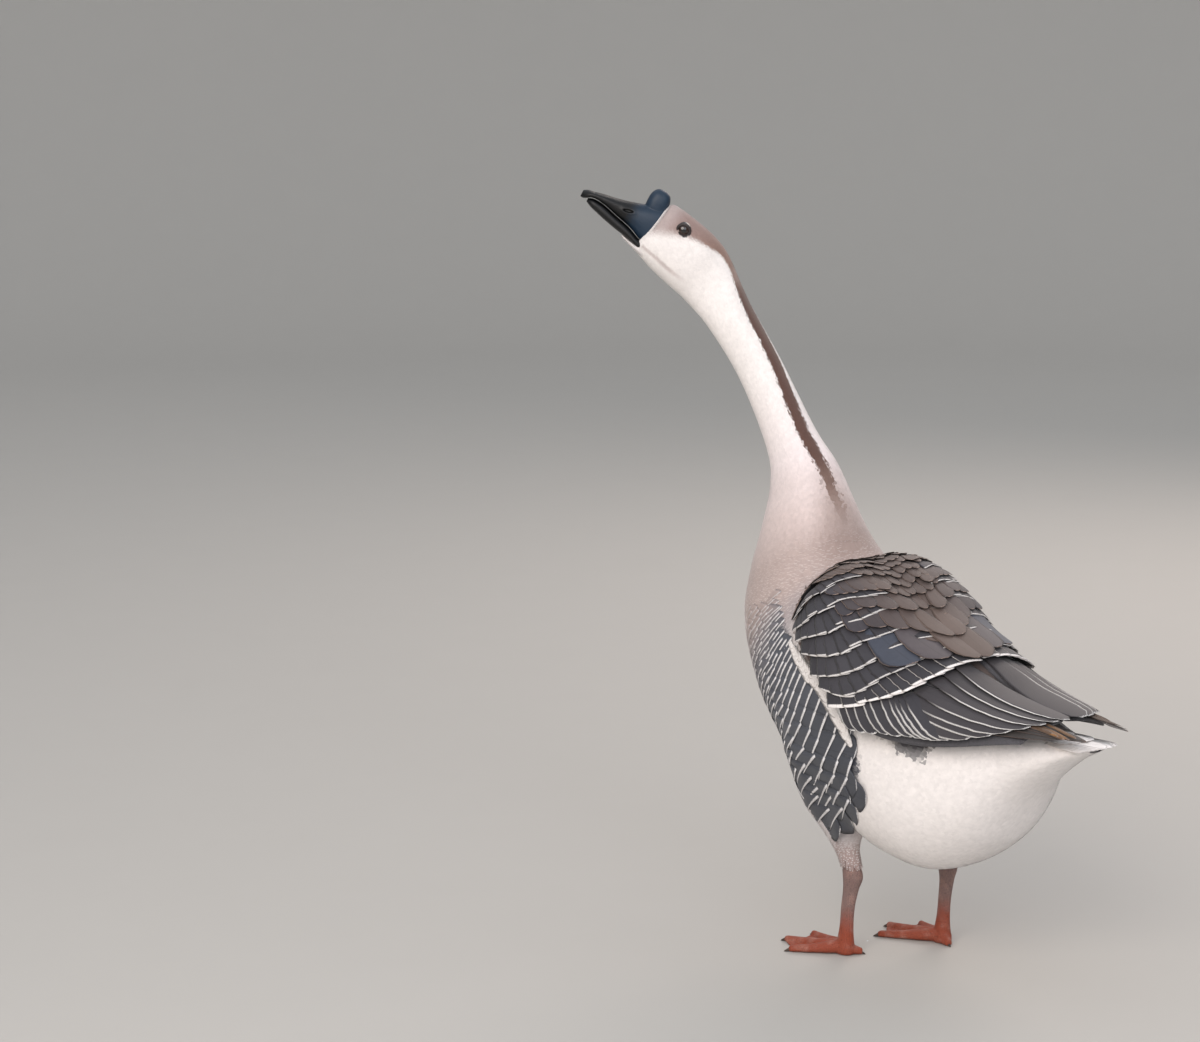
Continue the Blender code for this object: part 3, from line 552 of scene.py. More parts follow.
def featherMaterial(feather):
    made, tree, shader = material(feather["name"], feather["roughness"], Sheen_Weight=feather["sheen"],
                                  Sheen_Roughness=0.5, Specular_IOR_Level=0.35)
    own = node(tree, "Attribute", attribute_name="marking")
    fringe = node(tree, "Attribute", attribute_name="edging")
    side = own.outputs["Alpha"]
    place = node(tree, "TexCoord").outputs["Object"]
    split = node(tree, "SeparateXYZ", {0: node(tree, "UVMap", uv_map="vane")})
    along = split.outputs[1]
    across = node(tree, "Math", {0: split, 1: 2.0, 2: -1.0}, operation="MULTIPLY_ADD")
    offset = node(tree, "Math", {0: across}, operation="ABSOLUTE")
    # a pale fringe along the sides, which may be missing on the inner one, and a pale, slightly ragged tip
    ragged = node(tree, "TexNoise", {"Vector": place, "Scale": 900.0, "Detail": 1.0})
    wear = node(tree, "Math", {0: ragged, 1: 0.05, 2: -0.025}, operation="MULTIPLY_ADD")
    rim = node(tree, "Math", {0: node(tree, "Math", {0: offset, 1: wear}), 1: side})
    outer = node(tree, "MapRange", {0: rim, 1: 0.95, 2: 1.05}, interpolation_type="SMOOTHSTEP")
    inner = node(tree, "MapRange", {0: across, 1: -0.25, 2: 0.0}, interpolation_type="SMOOTHSTEP")
    keep = node(tree, "Mix", {0: inner, 2: fringe.outputs["Alpha"], 3: 1.0})
    begun = node(tree, "MapRange", {0: along, 1: 0.12, 2: 0.4}, interpolation_type="SMOOTHSTEP")
    present = node(tree, "MapRange", {0: side, 1: 0.0, 2: 0.03}, interpolation_type="SMOOTHSTEP")
    tipWide = node(tree, "Attribute", attribute_name="tipWidth").outputs["Fac"]
    reach = node(tree, "Math", {0: node(tree, "Math", {0: along, 1: wear}), 1: tipWide})
    tip = node(tree, "MapRange", {0: reach, 1: 0.985, 2: 1.015}, interpolation_type="SMOOTHSTEP")
    tipped = node(tree, "MapRange", {0: tipWide, 1: 0.0, 2: 0.004}, interpolation_type="SMOOTHSTEP")
    edgeShare = outer
    for part in (keep, begun, present):
        edgeShare = node(tree, "Math", {0: edgeShare, 1: part}, operation="MULTIPLY")
    tipShare = node(tree, "Math", {0: tip, 1: tipped}, operation="MULTIPLY")
    share = node(tree, "Math", {0: edgeShare, 1: tipShare}, operation="MAXIMUM")
    coloured = node(tree, "Mix", {0: share, 6: own.outputs["Color"], 7: fringe.outputs["Color"]},
                    data_type="RGBA")
    # barbs slant from the shaft to the rim
    slant = node(tree, "Math", {0: along, 1: feather["barbs"] * 6.283}, operation="MULTIPLY")
    slant = node(tree, "Math", {0: offset, 1: -7.0 * 6.283, 2: slant}, operation="MULTIPLY_ADD")
    lines = node(tree, "Math", {0: slant}, operation="SINE")
    barbs = node(tree, "Math", {0: lines, 1: feather["barbShade"], 2: 1 - feather["barbShade"]},
                 operation="MULTIPLY_ADD")
    shaft = node(tree, "MapRange", {0: offset, 1: 0.05, 2: 0.0}, interpolation_type="SMOOTHSTEP")
    shaft = node(tree, "Math", {0: shaft, 1: feather["shaftShade"] - 1, 2: 1.0}, operation="MULTIPLY_ADD")
    spots = node(tree, "TexNoise", {"Vector": place, "Scale": 160.0, "Detail": 3.0})
    spots = node(tree, "Math", {0: spots, 1: 0.24, 2: 0.88}, operation="MULTIPLY_ADD")
    shade = barbs
    for part in (shaft, spots):
        shade = node(tree, "Math", {0: shade, 1: part}, operation="MULTIPLY")
    dimmed = node(tree, "VectorMath", {0: coloured.outputs[2], "Scale": shade}, operation="SCALE")
    joinLook(tree, shader, dimmed.outputs[0], lines, feather["barbDepth"], 0.35)
    return made


plumage, coatPlumage = featherMaterial(quillLook), featherMaterial(coatLook)

# Colours of the plumage and where each of them lies
tone = {name: linear(text) for name, text in {
    "white": "#F3EDEA", "neckWhite": "#EFE3E2", "neckMid": "#D6C5C1", "fawn": "#B6A39D", "breast": "#A3999A",
    "stripe": "#5E4239", "stripeEnd": "#8E766C", "capRear": "#8E7165", "cap": "#98807A", "lores": "#B3A3A0",
    "slate": "#54565E", "slateRear": "#474950", "flankEdge": "#E4E1E1", "mantle": "#5B4D48",
    "mantleDark": "#403C41", "brownBack": "#5F4F48", "mantleEdge": "#9C877C", "covert": "#3B393E",
    "covertEdge": "#D6D1CE", "greater": "#37353A",
    "quillEdge": "#EFECEA", "tertial": "#3C383B", "scapular": "#454955", "primary": "#3B3634",
    "tipBrown": "#8A5E2E", "lidSkin": "#2B2322", "shade": "#CFC8C8", "dusky": "#A38D88"}.items()}
# Angles by station of the hind-neck stripe's middle, its half width and the cap's half width
stripeMiddle = ((12.0, 88), (12.9, 81), (13.5, 76), (14.1, 75), (14.6, 77), (15.2, 84), (15.8, 89),
                (16.4, 90))
stripeHalf = ((11.2, 2), (12.0, 6), (12.9, 10), (13.5, 13), (14.2, 16), (15.0, 19), (16.2, 24), (16.7, 30))
capHalf = ((16.2, 24), (16.6, 28), (17.0, 36), (17.6, 44), (18.1, 51), (18.65, 58), (19.43, 72), (20.2, 84),
           (21.5, 98), (22.0, 106))


def tableOf(pairs, at):
    return np.interp(at, *zip(*pairs))


def flankRear(degrees):
    # Station of the flank's rear edge by the angle on the body
    return np.interp(degrees, (-62, -52, -26, -1, 4, 7), (6.15, 5.75, 5.04, 4.77, 4.94, 5.04))


def bodyMarking(at, degrees, chance=None):
    # Base colour, fringe colour and fringe width at a station and an angle of the body
    wobble = 0 if chance is None else chance.normal(0, 1, len(at))
    off = np.abs((degrees - 90 + 180) % 360 - 180)
    neckKeys = (7.0, 8.5, 9.6, 10.8, 12.2, 13.6, 15.0)
    neckTones = [tone[k] for k in ("breast", "breast", "fawn", "fawn", "neckMid", "neckWhite", "white")]
    along = np.stack([np.interp(at, neckKeys, [t[c] for t in neckTones]) for c in range(3)], 1)
    base = mix(tone["white"], along, ramp(at, 7.3, 8.7))
    rear = flankRear(90 - off) + 0.5
    flank = ramp(at, rear, rear + 0.2) * ramp(at, 9.9, 8.2)
    flank = flank * ramp(off, 68, 74) * ramp(off + 4 * wobble, 156, 142)
    base = mix(base, tone["slate"], flank)
    front = np.interp(off, (0, 15, 30, 48, 56, 67, 73), (8.52, 8.93, 9.15, 8.96, 8.59, 7.9, 7.49))
    front = front + 0.04 * wobble
    hidden = np.interp(at, (2.0, 4.2), (36, 71))
    mantle = ramp(at, front + 0.1, front - 0.05) * ramp(off, hidden + 3, hidden - 3) * ramp(at, 1.2, 1.6)
    base = mix(base, tone["mantle"], mantle)
    middle, half = tableOf(stripeMiddle, at), tableOf(stripeHalf, at)
    away = np.abs((degrees - middle + 180) % 360 - 180)
    stripe = ramp(away + 1.5 * wobble, half + 2.5, half - 2.5) * ramp(at, 11.2, 12.8) * ramp(at, 17.2, 16.4)
    base = mix(base, mix(tone["stripeEnd"], tone["stripe"], ramp(at, 12.0, 13.6)), stripe)
    # brown tinge down the back of the neck's foot
    tinge = 0.45 * ramp(away, 42, 8) * ramp(at, 9.2, 10.2) * ramp(at, 13.4, 12.0)
    base = mix(base, tone["stripeEnd"], tinge)
    soft = np.interp(at, (18.0, 20.0), (4, 13))
    half = tableOf(capHalf, at)
    cap = ramp(off + 1.2 * wobble, half + soft, half - soft) * ramp(at, 16.2, 16.9)
    capTone = mix(tone["capRear"], tone["cap"], ramp(at, 17.2, 19.3))
    capTone = mix(capTone, tone["lores"], ramp(at, 19.3, 20.9))
    base = mix(base, capTone, cap)
    # a darker dusky line painted along the fold from the corner of the mouth down the cheek, painted shade of
    # the crease
    fold = np.abs(90 - off - np.interp(at, (17.8, 18.6, 19.6, 21.1), (-31, -35, -36, -41)))
    fold = 0.5 * ramp(fold, 7, 1) * ramp(at, 17.6, 18.8) * ramp(at, 21.6, 21.2)
    base = mix(base, tone["dusky"], fold)
    base = mix(base, tone["white"], 0.85 * ramp(at, 21.35, 21.75))
    # a dark slate patch just under the wing's lower edge, behind the flank
    under = 0.75 * ramp(90 - off + wobble, 12.5, 16) * ramp(off, 58, 62) * ramp(at + 0.04 * wobble, 3.95, 4.1)
    base = mix(base, tone["slateRear"], under * ramp(at, 4.75, 4.6))
    pale = mix(base, tone["white"], 0.3)
    width = 0.05 * ramp(at, 12.0, 9.6) * ramp(at, 7.0, 8.0)
    return base, pale, width


def bakeSpot(at, angle, low, high):
    return np.stack([0.01 + 0.98 * (angle / (math.tau) % 1), 0.01 + 0.98 * (at - low) / (high - low)], 1)


# Body coat by stretch of the body: rows and columns of small feathers, each a closed vane
stretches = {
    "head": {"pitch": (0.00130, 0.00120), "long": 0.0046, "wide": 0.0022, "low": -0.0003, "high": 0.0001,
             "spans": {"coat_face": (19.3, 21.9), "coat_cheeks": (16.7, 19.3)}},
    "neck": {"pitch": (0.0024, 0.0018), "long": 0.0105, "wide": 0.0040, "low": -0.0004, "high": 0.0001,
             "spans": {"coat_nape": (15.0, 16.8), "coat_neck": (12.8, 15.0)}},
    "breast": {"pitch": (0.0038, 0.0040), "long": 0.0165, "wide": 0.0096, "low": -0.0005, "high": 0.0001,
               "spans": {"coat_breast": (8.0, 12.9)}},
    "belly": {"pitch": (0.0050, 0.0044), "long": 0.0250, "wide": 0.0115, "low": -0.0007, "high": 0.0002,
              "spans": {"coat_belly": (4.0, 8.1), "coat_rump": (0.35, 4.0)}},
}


def wingLine(y, across=1.0):
    return wingSurface(1)["point"](np.clip(y, -0.088, 0.33), np.full(len(y), across))


def coatRoots(span, pitch, seed):
    # Roots in staggered rows, thinned where the body's rows crowd together
    (low, high), (pitchAlong, pitchAcross) = span, pitch
    chance = np.random.default_rng(seed)
    angles = np.radians(np.arange(0, 360, 10.0))
    closed = np.append(angles, math.tau)
    at, rowNumber, stations, turns = low, 0, [], []
    while at < high:
        byP, byQ, _ = frameOn(body, np.full(len(angles), at), angles)
        slope, around = lengthOf(byP)[:, 0], lengthOf(byQ)[:, 0]
        count = max(8, int(around.mean() * math.tau / pitchAcross))
        step = pitchAlong / slope.max()
        turn = (np.arange(count) + 0.5 * (rowNumber % 2)) / count
        total = np.concatenate([[0], np.cumsum(around)])
        place = np.interp(turn % 1 * total[-1], total, closed)
        crowd = np.interp(place, closed, np.append(slope, slope[0])) / slope.max()
        kept = np.floor((rowNumber + 1) * crowd + 0.5) > np.floor(rowNumber * crowd + 0.5)
        jitter = chance.uniform(-0.3, 0.3, (2, count))
        place = place + jitter[0] * math.tau / count
        stations.append((np.full(count, at) + jitter[1] * step)[kept])
        turns.append(place[kept])
        at += step
        rowNumber += 1
    return np.concatenate(stations), np.concatenate(turns) % math.tau, chance


def coatFor(name, span, spec, seed, keepOn):
    at, angle, chance = coatRoots(span, spec["pitch"], seed)
    keep = keepOn(bodyPoint(at, angle))
    at, angle = at[keep], angle[keep]
    count = len(at)
    base, pale, width = bodyMarking(at, np.degrees(angle), chance)
    base = base * (1 + chance.normal(0, 0.02, count))[:, None]
    size = 1 + chance.uniform(-0.12, 0.12, count)
    lift = chance.uniform(-0.00003, 0.00003, count)
    group = layer(at, angle, heading=chance.normal(0, 0.07, count), length=spec["long"] * size,
                  width=spec["wide"] * size, low=spec["low"] + lift, high=spec["high"] + lift, camber=0.008,
                  tilt=chance.normal(0, 0.004, count), base=base, edge=pale, edgeWidth=width * 0.5,
                  tipWidth=width, bake=bakeSpot(at, angle, *span))
    rows, shape = 3 if spec["long"] < 0.006 else 4, "tuft" if spec["long"] < 0.012 else "contour"
    return vaneObject(name, [layVanes(body, group, rows, 3, shape)], coatPlumage, soft=True)


lidReach = 0.0086


def clearOfFace(places):
    # Keeps feathers off the eyes, which lie on one line across the head
    away = places - np.array(head["eyes"])
    ahead, above, left = headAxes()
    flat = np.hypot((away @ ahead) / 1.12, away @ above)
    return (flat > lidReach) | (np.abs(away @ left) < 0.012)


def uncovered(places):
    # Keeps feathers that no wing hides and that stay off the eyes
    line = wingLine(places[:, 1])
    under = (places[:, 1] > -0.070) & (places[:, 1] < 0.235) & (places[:, 2] > line[:, 2] + 0.010)
    return ~under & clearOfFace(places)


coatPieces = []
for spec in stretches.values():
    for name, span in spec["spans"].items():
        coatPieces.append(coatFor(name, span, spec, 3 + len(coatPieces), uncovered))
report("body coat")

# Wing feathers in tiers. A tier is a line of tips (y, across) with how many feathers end on it, their
# lengths and widths at the line's two ends, how far they turn down there, lifts, tones and pale edges:
# fringe is the share of the width, and tip the millimetres at the end.
usualTier = {"count": 10, "tone": "covert", "edge": "covertEdge", "fringe": 0.0, "tip": 2.2, "inner": 0.0,
             "shape": "blunt", "tilt": 0.07, "bend": 0.0}
tiers = {
    "primaries": {"tips": ((0.300, 0.74), (0.318, 0.60), (0.335, 0.50)), "count": 6,
                  "long": (0.150, 0.165), "wide": (0.018, 0.018), "turn": (2, -3), "lift": (-0.0066, -0.0012),
                  "tone": "primary", "edge": "stripeEnd", "fringe": 0.05, "tip": 0.6, "shape": "long"},
    "secondaries": {"tips": ((0.050, 1.00), (0.065, 1.02), (0.106, 0.955), (0.140, 0.92), (0.172, 0.92),
                             (0.192, 0.935)), "count": 12,
                    "long": (0.070, 0.090), "wide": (0.020, 0.030), "turn": (34, 36),
                    "lift": (-0.0040, 0.0004), "tone": "greater",
                    "edge": "quillEdge", "fringe": 0.17, "tip": 1.6, "shape": "round",
                    "tilt": 0.20, "bend": 0.25},
    "tertials": {"tips": ((0.214, 0.94), (0.243, 0.87), (0.266, 0.64), (0.280, 0.36), (0.286, 0.12)),
                 "count": 7, "long": (0.125, 0.182), "wide": (0.036, 0.046), "turn": (30, 2),
                 "lift": (-0.0050, 0.0016), "tone": "tertial", "edge": "quillEdge", "fringe": 0.13,
                 "tip": 1.2, "shape": "round", "tilt": 0.13},
    "greaterCoverts": {"tips": ((0.040, 0.97), (0.076, 0.79), (0.096, 0.69), (0.111, 0.59), (0.122, 0.47),
                                (0.127, 0.36), (0.130, 0.23), (0.134, 0.04)), "count": 12,
                       "long": (0.046, 0.066), "wide": (0.029, 0.033), "turn": (30, 2),
                       "lift": (-0.0040, 0.0032), "tone": "greater", "edge": "white", "fringe": 0.05,
                       "tip": 4.2},
    "coverts6": {"tips": ((0.024, 0.96), (0.056, 0.80), (0.078, 0.62), (0.092, 0.47), (0.100, 0.30),
                          (0.104, 0.08)),
                 "long": (0.044, 0.054), "wide": (0.031, 0.036), "turn": (24, 2), "lift": (-0.0034, 0.0040)},
    "coverts5": {"tips": ((0.006, 0.97), (0.030, 0.82), (0.050, 0.62), (0.063, 0.44), (0.072, 0.26),
                          (0.078, 0.08)),
                 "long": (0.042, 0.050), "wide": (0.030, 0.036), "turn": (22, 4), "lift": (-0.0032, 0.0044)},
    "coverts4": {"tips": ((-0.014, 0.97), (0.007, 0.81), (0.026, 0.62), (0.038, 0.45), (0.047, 0.26),
                          (0.053, 0.08)),
                 "long": (0.038, 0.046), "wide": (0.029, 0.034), "turn": (20, 5), "lift": (-0.0030, 0.0047)},
    "coverts3": {"tips": ((-0.032, 0.97), (-0.014, 0.80), (0.003, 0.60), (0.014, 0.43), (0.022, 0.25),
                          (0.028, 0.08)),
                 "long": (0.034, 0.042), "wide": (0.027, 0.032), "turn": (18, 6), "lift": (-0.0028, 0.0050),
                 "tip": 2.1},
    "coverts2": {"tips": ((-0.048, 0.95), (-0.034, 0.78), (-0.020, 0.58), (-0.009, 0.38), (-0.001, 0.22),
                          (0.005, 0.08)),
                 "long": (0.030, 0.036), "wide": (0.024, 0.029), "turn": (18, 6), "lift": (-0.0024, 0.0052),
                 "tip": 1.9},
    "coverts1": {"tips": ((-0.061, 0.92), (-0.050, 0.72), (-0.039, 0.50), (-0.030, 0.30), (-0.022, 0.10)),
                 "long": (0.024, 0.030), "wide": (0.021, 0.025), "turn": (18, 6), "lift": (-0.0020, 0.0054),
                 "tone": "mantleDark", "tip": 1.4, "inner": 0.2},
    "coverts0": {"tips": ((-0.074, 0.86), (-0.066, 0.60), (-0.058, 0.34), (-0.048, 0.10)),
                 "long": (0.018, 0.026), "wide": (0.017, 0.021), "turn": (16, 6), "lift": (-0.0014, 0.0054),
                 "tone": "mantleDark", "edge": "mantleEdge", "tip": 1.3, "inner": 0.3},
    "scapulars3": {"tips": ((0.100, 0.35), (0.118, 0.17), (0.134, 0.0)), "count": 3, "long": (0.078, 0.085),
                   "wide": (0.056, 0.042), "turn": (8, 0), "lift": (0.0036, 0.0066), "tone": "scapular",
                   "toneEnd": "brownBack", "edge": "mantleEdge", "fringe": 0.03, "tip": 0.7, "inner": 0.3,
                   "shape": "round"},
    "scapulars2": {"tips": ((0.028, 0.42), (0.042, 0.24), (0.068, 0.10), (0.088, -0.02)), "count": 5,
                   "long": (0.044, 0.060), "wide": (0.032, 0.034), "turn": (10, 0), "lift": (0.0024, 0.0076),
                   "tone": "mantleDark", "toneEnd": "brownBack", "edge": "mantleEdge", "fringe": 0.04,
                   "tip": 0.9, "inner": 0.3, "shape": "round"},
    "scapulars1": {"tips": ((0.006, 0.40), (0.018, 0.22), (0.040, 0.0)), "count": 5, "long": (0.038, 0.046),
                   "wide": (0.026, 0.028), "turn": (10, 0), "lift": (-0.0004, 0.0076), "tone": "mantleDark",
                   "toneEnd": "mantle", "edge": "mantleEdge", "fringe": 0.05, "tip": 1.0, "inner": 0.4,
                   "shape": "round"},
    "mantle2": {"tips": ((-0.016, 0.36), (-0.006, 0.18), (0.006, 0.0)), "count": 6, "long": (0.034, 0.038),
                "wide": (0.022, 0.023), "turn": (10, 0), "lift": (-0.0004, 0.0074), "tone": "mantleDark",
                "toneEnd": "mantle", "edge": "mantleEdge", "fringe": 0.05, "tip": 1.0, "inner": 0.5,
                "shape": "round"},
    "mantle1": {"tips": ((-0.046, 0.36), (-0.036, 0.16), (-0.030, -0.05)), "count": 8,
                "long": (0.026, 0.030), "wide": (0.017, 0.019), "turn": (10, 0), "lift": (-0.0004, 0.0068),
                "tone": "mantle", "edge": "mantleEdge", "fringe": 0.06, "tip": 1.0, "inner": 0.5,
                "shape": "round"},
}


def tierVanes(surface, side, tier, number, total, chance):
    tier = {"toneEnd": tier.get("tone", usualTier["tone"]), **usualTier, **tier}
    tips = np.array(tier["tips"])
    t = np.linspace(0, 1, tier["count"]) * (len(tips) - 1)
    count = len(t)
    y = np.interp(t, np.arange(len(tips)), tips[:, 0]) + chance.uniform(-0.0022, 0.0022, count)
    across = np.interp(t, np.arange(len(tips)), tips[:, 1]) + chance.uniform(-0.006, 0.006, count)
    share = t / (len(tips) - 1)
    length = tier["long"][0] + (tier["long"][1] - tier["long"][0]) * share
    width = tier["wide"][0] + (tier["wide"][1] - tier["wide"][0]) * share
    turn = np.radians(tier["turn"][0] + (tier["turn"][1] - tier["turn"][0]) * share)
    turn = (turn + chance.normal(0, 0.015, count)) * -side
    bend = tier["bend"] * side
    rootY, rootAcross, heading, skew = tipRow(surface, y, across, turn, length, bend)
    skew = skew * {"long": 0.35, "round": 0.5, "blunt": 1.0}[tier["shape"]]
    lift = chance.uniform(-0.0002, 0.0002, count) + 0.0012 * share
    base = mix(tone[tier["tone"]], tone[tier["toneEnd"]], share) * chance.uniform(0.9, 1.1, (count, 1))
    group = layer(rootY, rootAcross, heading=heading, length=length, width=width, low=tier["lift"][0] + lift,
                  high=tier["lift"][1] + lift, camber=0.012, tilt=-tier["tilt"] * side, skew=skew, bend=bend,
                  base=base, edge=tone[tier["edge"]], edgeWidth=tier["fringe"], innerEdge=tier["inner"],
                  tipWidth=tier["tip"] / 1000 / length,
                  bake=np.stack([0.03 + 0.94 * (np.arange(count) + 0.5) / count,
                                 np.full(count, 0.03 + 0.94 * (number + 0.5) / total)], 1),
                  bakeSize=(0.9 / count, 0.9 / total))
    return layVanes(surface, group, 16, 9, tier["shape"], 0.0007, flip=side > 0)


# Worn brown ends of the primaries under the tertials, narrow and ragged
wornTips = {"from": (0.290, 0.60), "to": (0.322, 1.00), "count": 13, "long": 0.070, "wide": 0.0065,
            "seed": 47}


def wornVanes(surface, side):
    chance = np.random.default_rng(wornTips["seed"] + side)
    share = np.linspace(0, 1, wornTips["count"])
    (y0, a0), (y1, a1) = wornTips["from"], wornTips["to"]
    y = y0 + (y1 - y0) * share + chance.uniform(-0.007, 0.007, len(share))
    across = a0 + (a1 - a0) * share + chance.uniform(-0.02, 0.02, len(share))
    heading = (np.radians(24 + 14 * share) + chance.normal(0, 0.08, len(share))) * -side
    length = wornTips["long"] * chance.uniform(0.9, 1.1, len(share))
    rootY, rootAcross, heading, _ = tipRow(surface, y, across, heading, length)
    worn = chance.uniform(0, 0.7, len(share)) if side > 0 else chance.uniform(0.75, 1, len(share))
    base = mix(tone["tipBrown"], tone["primary"], worn)
    group = layer(rootY, rootAcross, heading=heading, length=length, width=wornTips["wide"], low=-0.0050,
                  high=0.0010 + chance.uniform(-0.0012, 0.0012, len(share)), camber=0.08, base=base,
                  edge=tone["mantleEdge"], edgeWidth=0.12, tipWidth=0.03, innerEdge=1.0,
                  bake=np.stack([0.03 + 0.94 * share, np.full(len(share), 0.985)], 1), bakeSize=(0.02, 0.02))
    return layVanes(surface, group, 10, 5, "long", 0.0005)


def wingVanes(side, seed):
    surface = wingSurface(side)
    chance = np.random.default_rng(seed)
    return [wornVanes(surface, side), *(tierVanes(surface, side, tier, number, len(tiers), chance)
                                        for number, tier in enumerate(tiers.values()))]


# Mantle: brown feathers with tan edges that fill the saddle between the wings
mantle = {"rows": (-0.080, -0.069, -0.058, -0.046, -0.033, -0.019, -0.004, 0.013, 0.032, 0.053, 0.076,
                   0.100), "bow": 0.022, "seed": 71}


def saddleSurface():
    # The back between the wings by y and x, level with the wings' upper edges
    def point(y, x):
        row = smoothCurve(wingTable[:, 0], wingTable[:, 1:], y)
        wide, tall, full = row[:, 0], row[:, 1], row[:, 3]
        top = row[:, 2] + tall * (1 - np.minimum(np.abs(x) / wide, 0.98) ** full) ** (1 / full)
        return np.stack([x, y, top - 0.003 * np.exp(-(x / 0.02) ** 2)], 1)

    return {"point": point, "turn": -1, "flow": 1, "steps": (0.0005, 0.001)}


def mantleVanes():
    surface = saddleSurface()
    chance = np.random.default_rng(mantle["seed"])
    laid = []
    for number, y in enumerate(mantle["rows"]):
        reach = np.interp(y, (-0.08, -0.05, 0.0, 0.05, 0.12), (0.066, 0.058, 0.046, 0.034, 0.022))
        wide = np.interp(y, (-0.08, 0.0, 0.12), (0.013, 0.021, 0.031))
        long = np.interp(y, (-0.08, 0.0, 0.12), (0.020, 0.036, 0.062))
        count = max(3, int(2 * reach / (wide * 0.62)))
        x = np.linspace(-reach, reach, count) + chance.uniform(-0.0022, 0.0022, count)
        if number % 2:
            x = (x[1:] + x[:-1]) / 2
        count = len(x)
        tipsY = y + mantle["bow"] * (1 - (x / 0.066) ** 2) + chance.uniform(-0.0030, 0.0030, count)
        rootP, rootQ, heading, skew = tipRow(surface, tipsY, x, -x * 2.2 + chance.normal(0, 0.04, count),
                                             np.full(count, long))
        brown = mix(tone["mantle"], tone["brownBack"], ramp(y, 0.0, 0.06))
        spot = np.stack([(np.arange(count) + 0.5) / count, np.full(count, (number + 0.5) / 10)], 1)
        group = layer(rootP, rootQ, heading=heading, length=long, width=wide, low=-0.0012, high=0.0068,
                      camber=0.02, skew=skew, base=brown * chance.uniform(0.9, 1.1, (count, 1)),
                      edge=tone["mantleEdge"], edgeWidth=0.05, innerEdge=0.8, tipWidth=0.0010 / long,
                      bake=spot, bakeSize=(0.9 / count, 0.09))
        laid.append(layVanes(surface, group, 12, 7, "round", 0.0006))
    return laid


def wingPad(side, name):
    # The closed pad under the wing's feathers
    surface = wingSurface(side)
    ys, across = np.linspace(-0.086, 0.268, 60), np.linspace(0.0, 0.97, 24)
    rings = []
    for i, y in enumerate(ys):
        end = min(1.0, (len(ys) - 1 - i) / 12 + 0.3, i / 6 + 0.35)
        row = np.full(len(across), y)
        _, _, out = frameOn(surface, row, across)
        points = surface["point"](row, across)
        rings.append(np.vstack([points - out * 0.0062, (points - out * (0.0062 + 0.007 * end))[::-1]]))
    made = tubeObject(name, np.array(rings))
    made.data.materials.append(padMaterial)
    return made


def downMaterial():
    # Down and feather bases: matt grey fluff
    made, tree, shader = material("down", 0.85, Sheen_Weight=0.2)
    place = node(tree, "TexCoord").outputs["Object"]
    noise = node(tree, "TexNoise", {"Vector": place, "Scale": 420.0, "Detail": 4.0})
    shades = node(tree, "Mix", {0: noise, 6: linear("#3A393D"), 7: linear("#5A585C")}, data_type="RGBA")
    joinLook(tree, shader, shades.outputs[2], noise, 0.0006)
    return made


padMaterial = downMaterial()
wings = [vaneObject("wing_feathers_" + name, wingVanes(side, seed), plumage)
         for name, side, seed in (("left", 1, 41), ("right", -1, 43))]
backPiece = vaneObject("mantle_feathers", mantleVanes(), plumage)
pads = [wingPad(1, "wing_pad_left"), wingPad(-1, "wing_pad_right")]
report("wings")

# Tail: white quills in a fan, with coverts over them
tail = {"root": (0.0, 0.180, 0.3185), "long": 0.153, "lift": 0.6, "fan": 12.0, "count": 14, "wide": 0.024}


def tailSurface():
    # p is the reach from the root and q the turn from the middle in degrees
    rise = math.tan(math.radians(tail["lift"]))

    def point(p, q):
        turn = np.radians(q)
        x = np.sin(turn) * p
        return np.stack([tail["root"][0] + x, tail["root"][1] + np.cos(turn) * p,
                         tail["root"][2] + rise * p - 1.1 * x * x], 1)

    return {"point": point, "turn": -1, "flow": 1, "steps": (0.0005, 0.1)}


def tailVanes():
    surface = tailSurface()
    chance = np.random.default_rng(7)
    laid = []
    for count, reach, wide, low, high in ((tail["count"], 1.0, tail["wide"], -0.0006, 0.0002),
                                          (11, 0.80, 0.026, 0.0006, 0.0030), (9, 0.62, 0.026, 0.0016, 0.0050),
                                          (7, 0.42, 0.026, 0.0020, 0.0060)):
        place = np.linspace(-1, 1, count)
        turn = tail["fan"] * place * (1.0 if reach == 1 else 0.86)
        length = tail["long"] * reach * (1 - 0.06 * place**2) * chance.uniform(0.985, 1.015, count)
        start = 0.020
        drop = 0.0022 * np.abs(place)
        spot = np.stack([(np.arange(count) + 0.5) / count, np.full(count, 0.9 * reach)], 1)
        group = layer(np.full(count, start), turn, length=length - start, width=wide, low=low - drop,
                      high=high - drop, camber=0.03, tilt=-0.07 * np.sign(place), base=tone["white"],
                      edge=tone["white"], bake=spot, bakeSize=(0.9 / count, 0.14))
        laid.append(layVanes(surface, group, 12, 7, "long", 0.0008))
    return laid


tailPiece = vaneObject("tail_feathers", tailVanes(), plumage)
report("tail")

# Legs and feet
feet = {"left": (0.065, -0.027, 15.0, -1), "right": (-0.061, 0.016, 6.0, 1)}
toes = {"inner": 0.074, "middle": 0.093, "outer": 0.086, "hind": 0.024, "spread": 29.0}


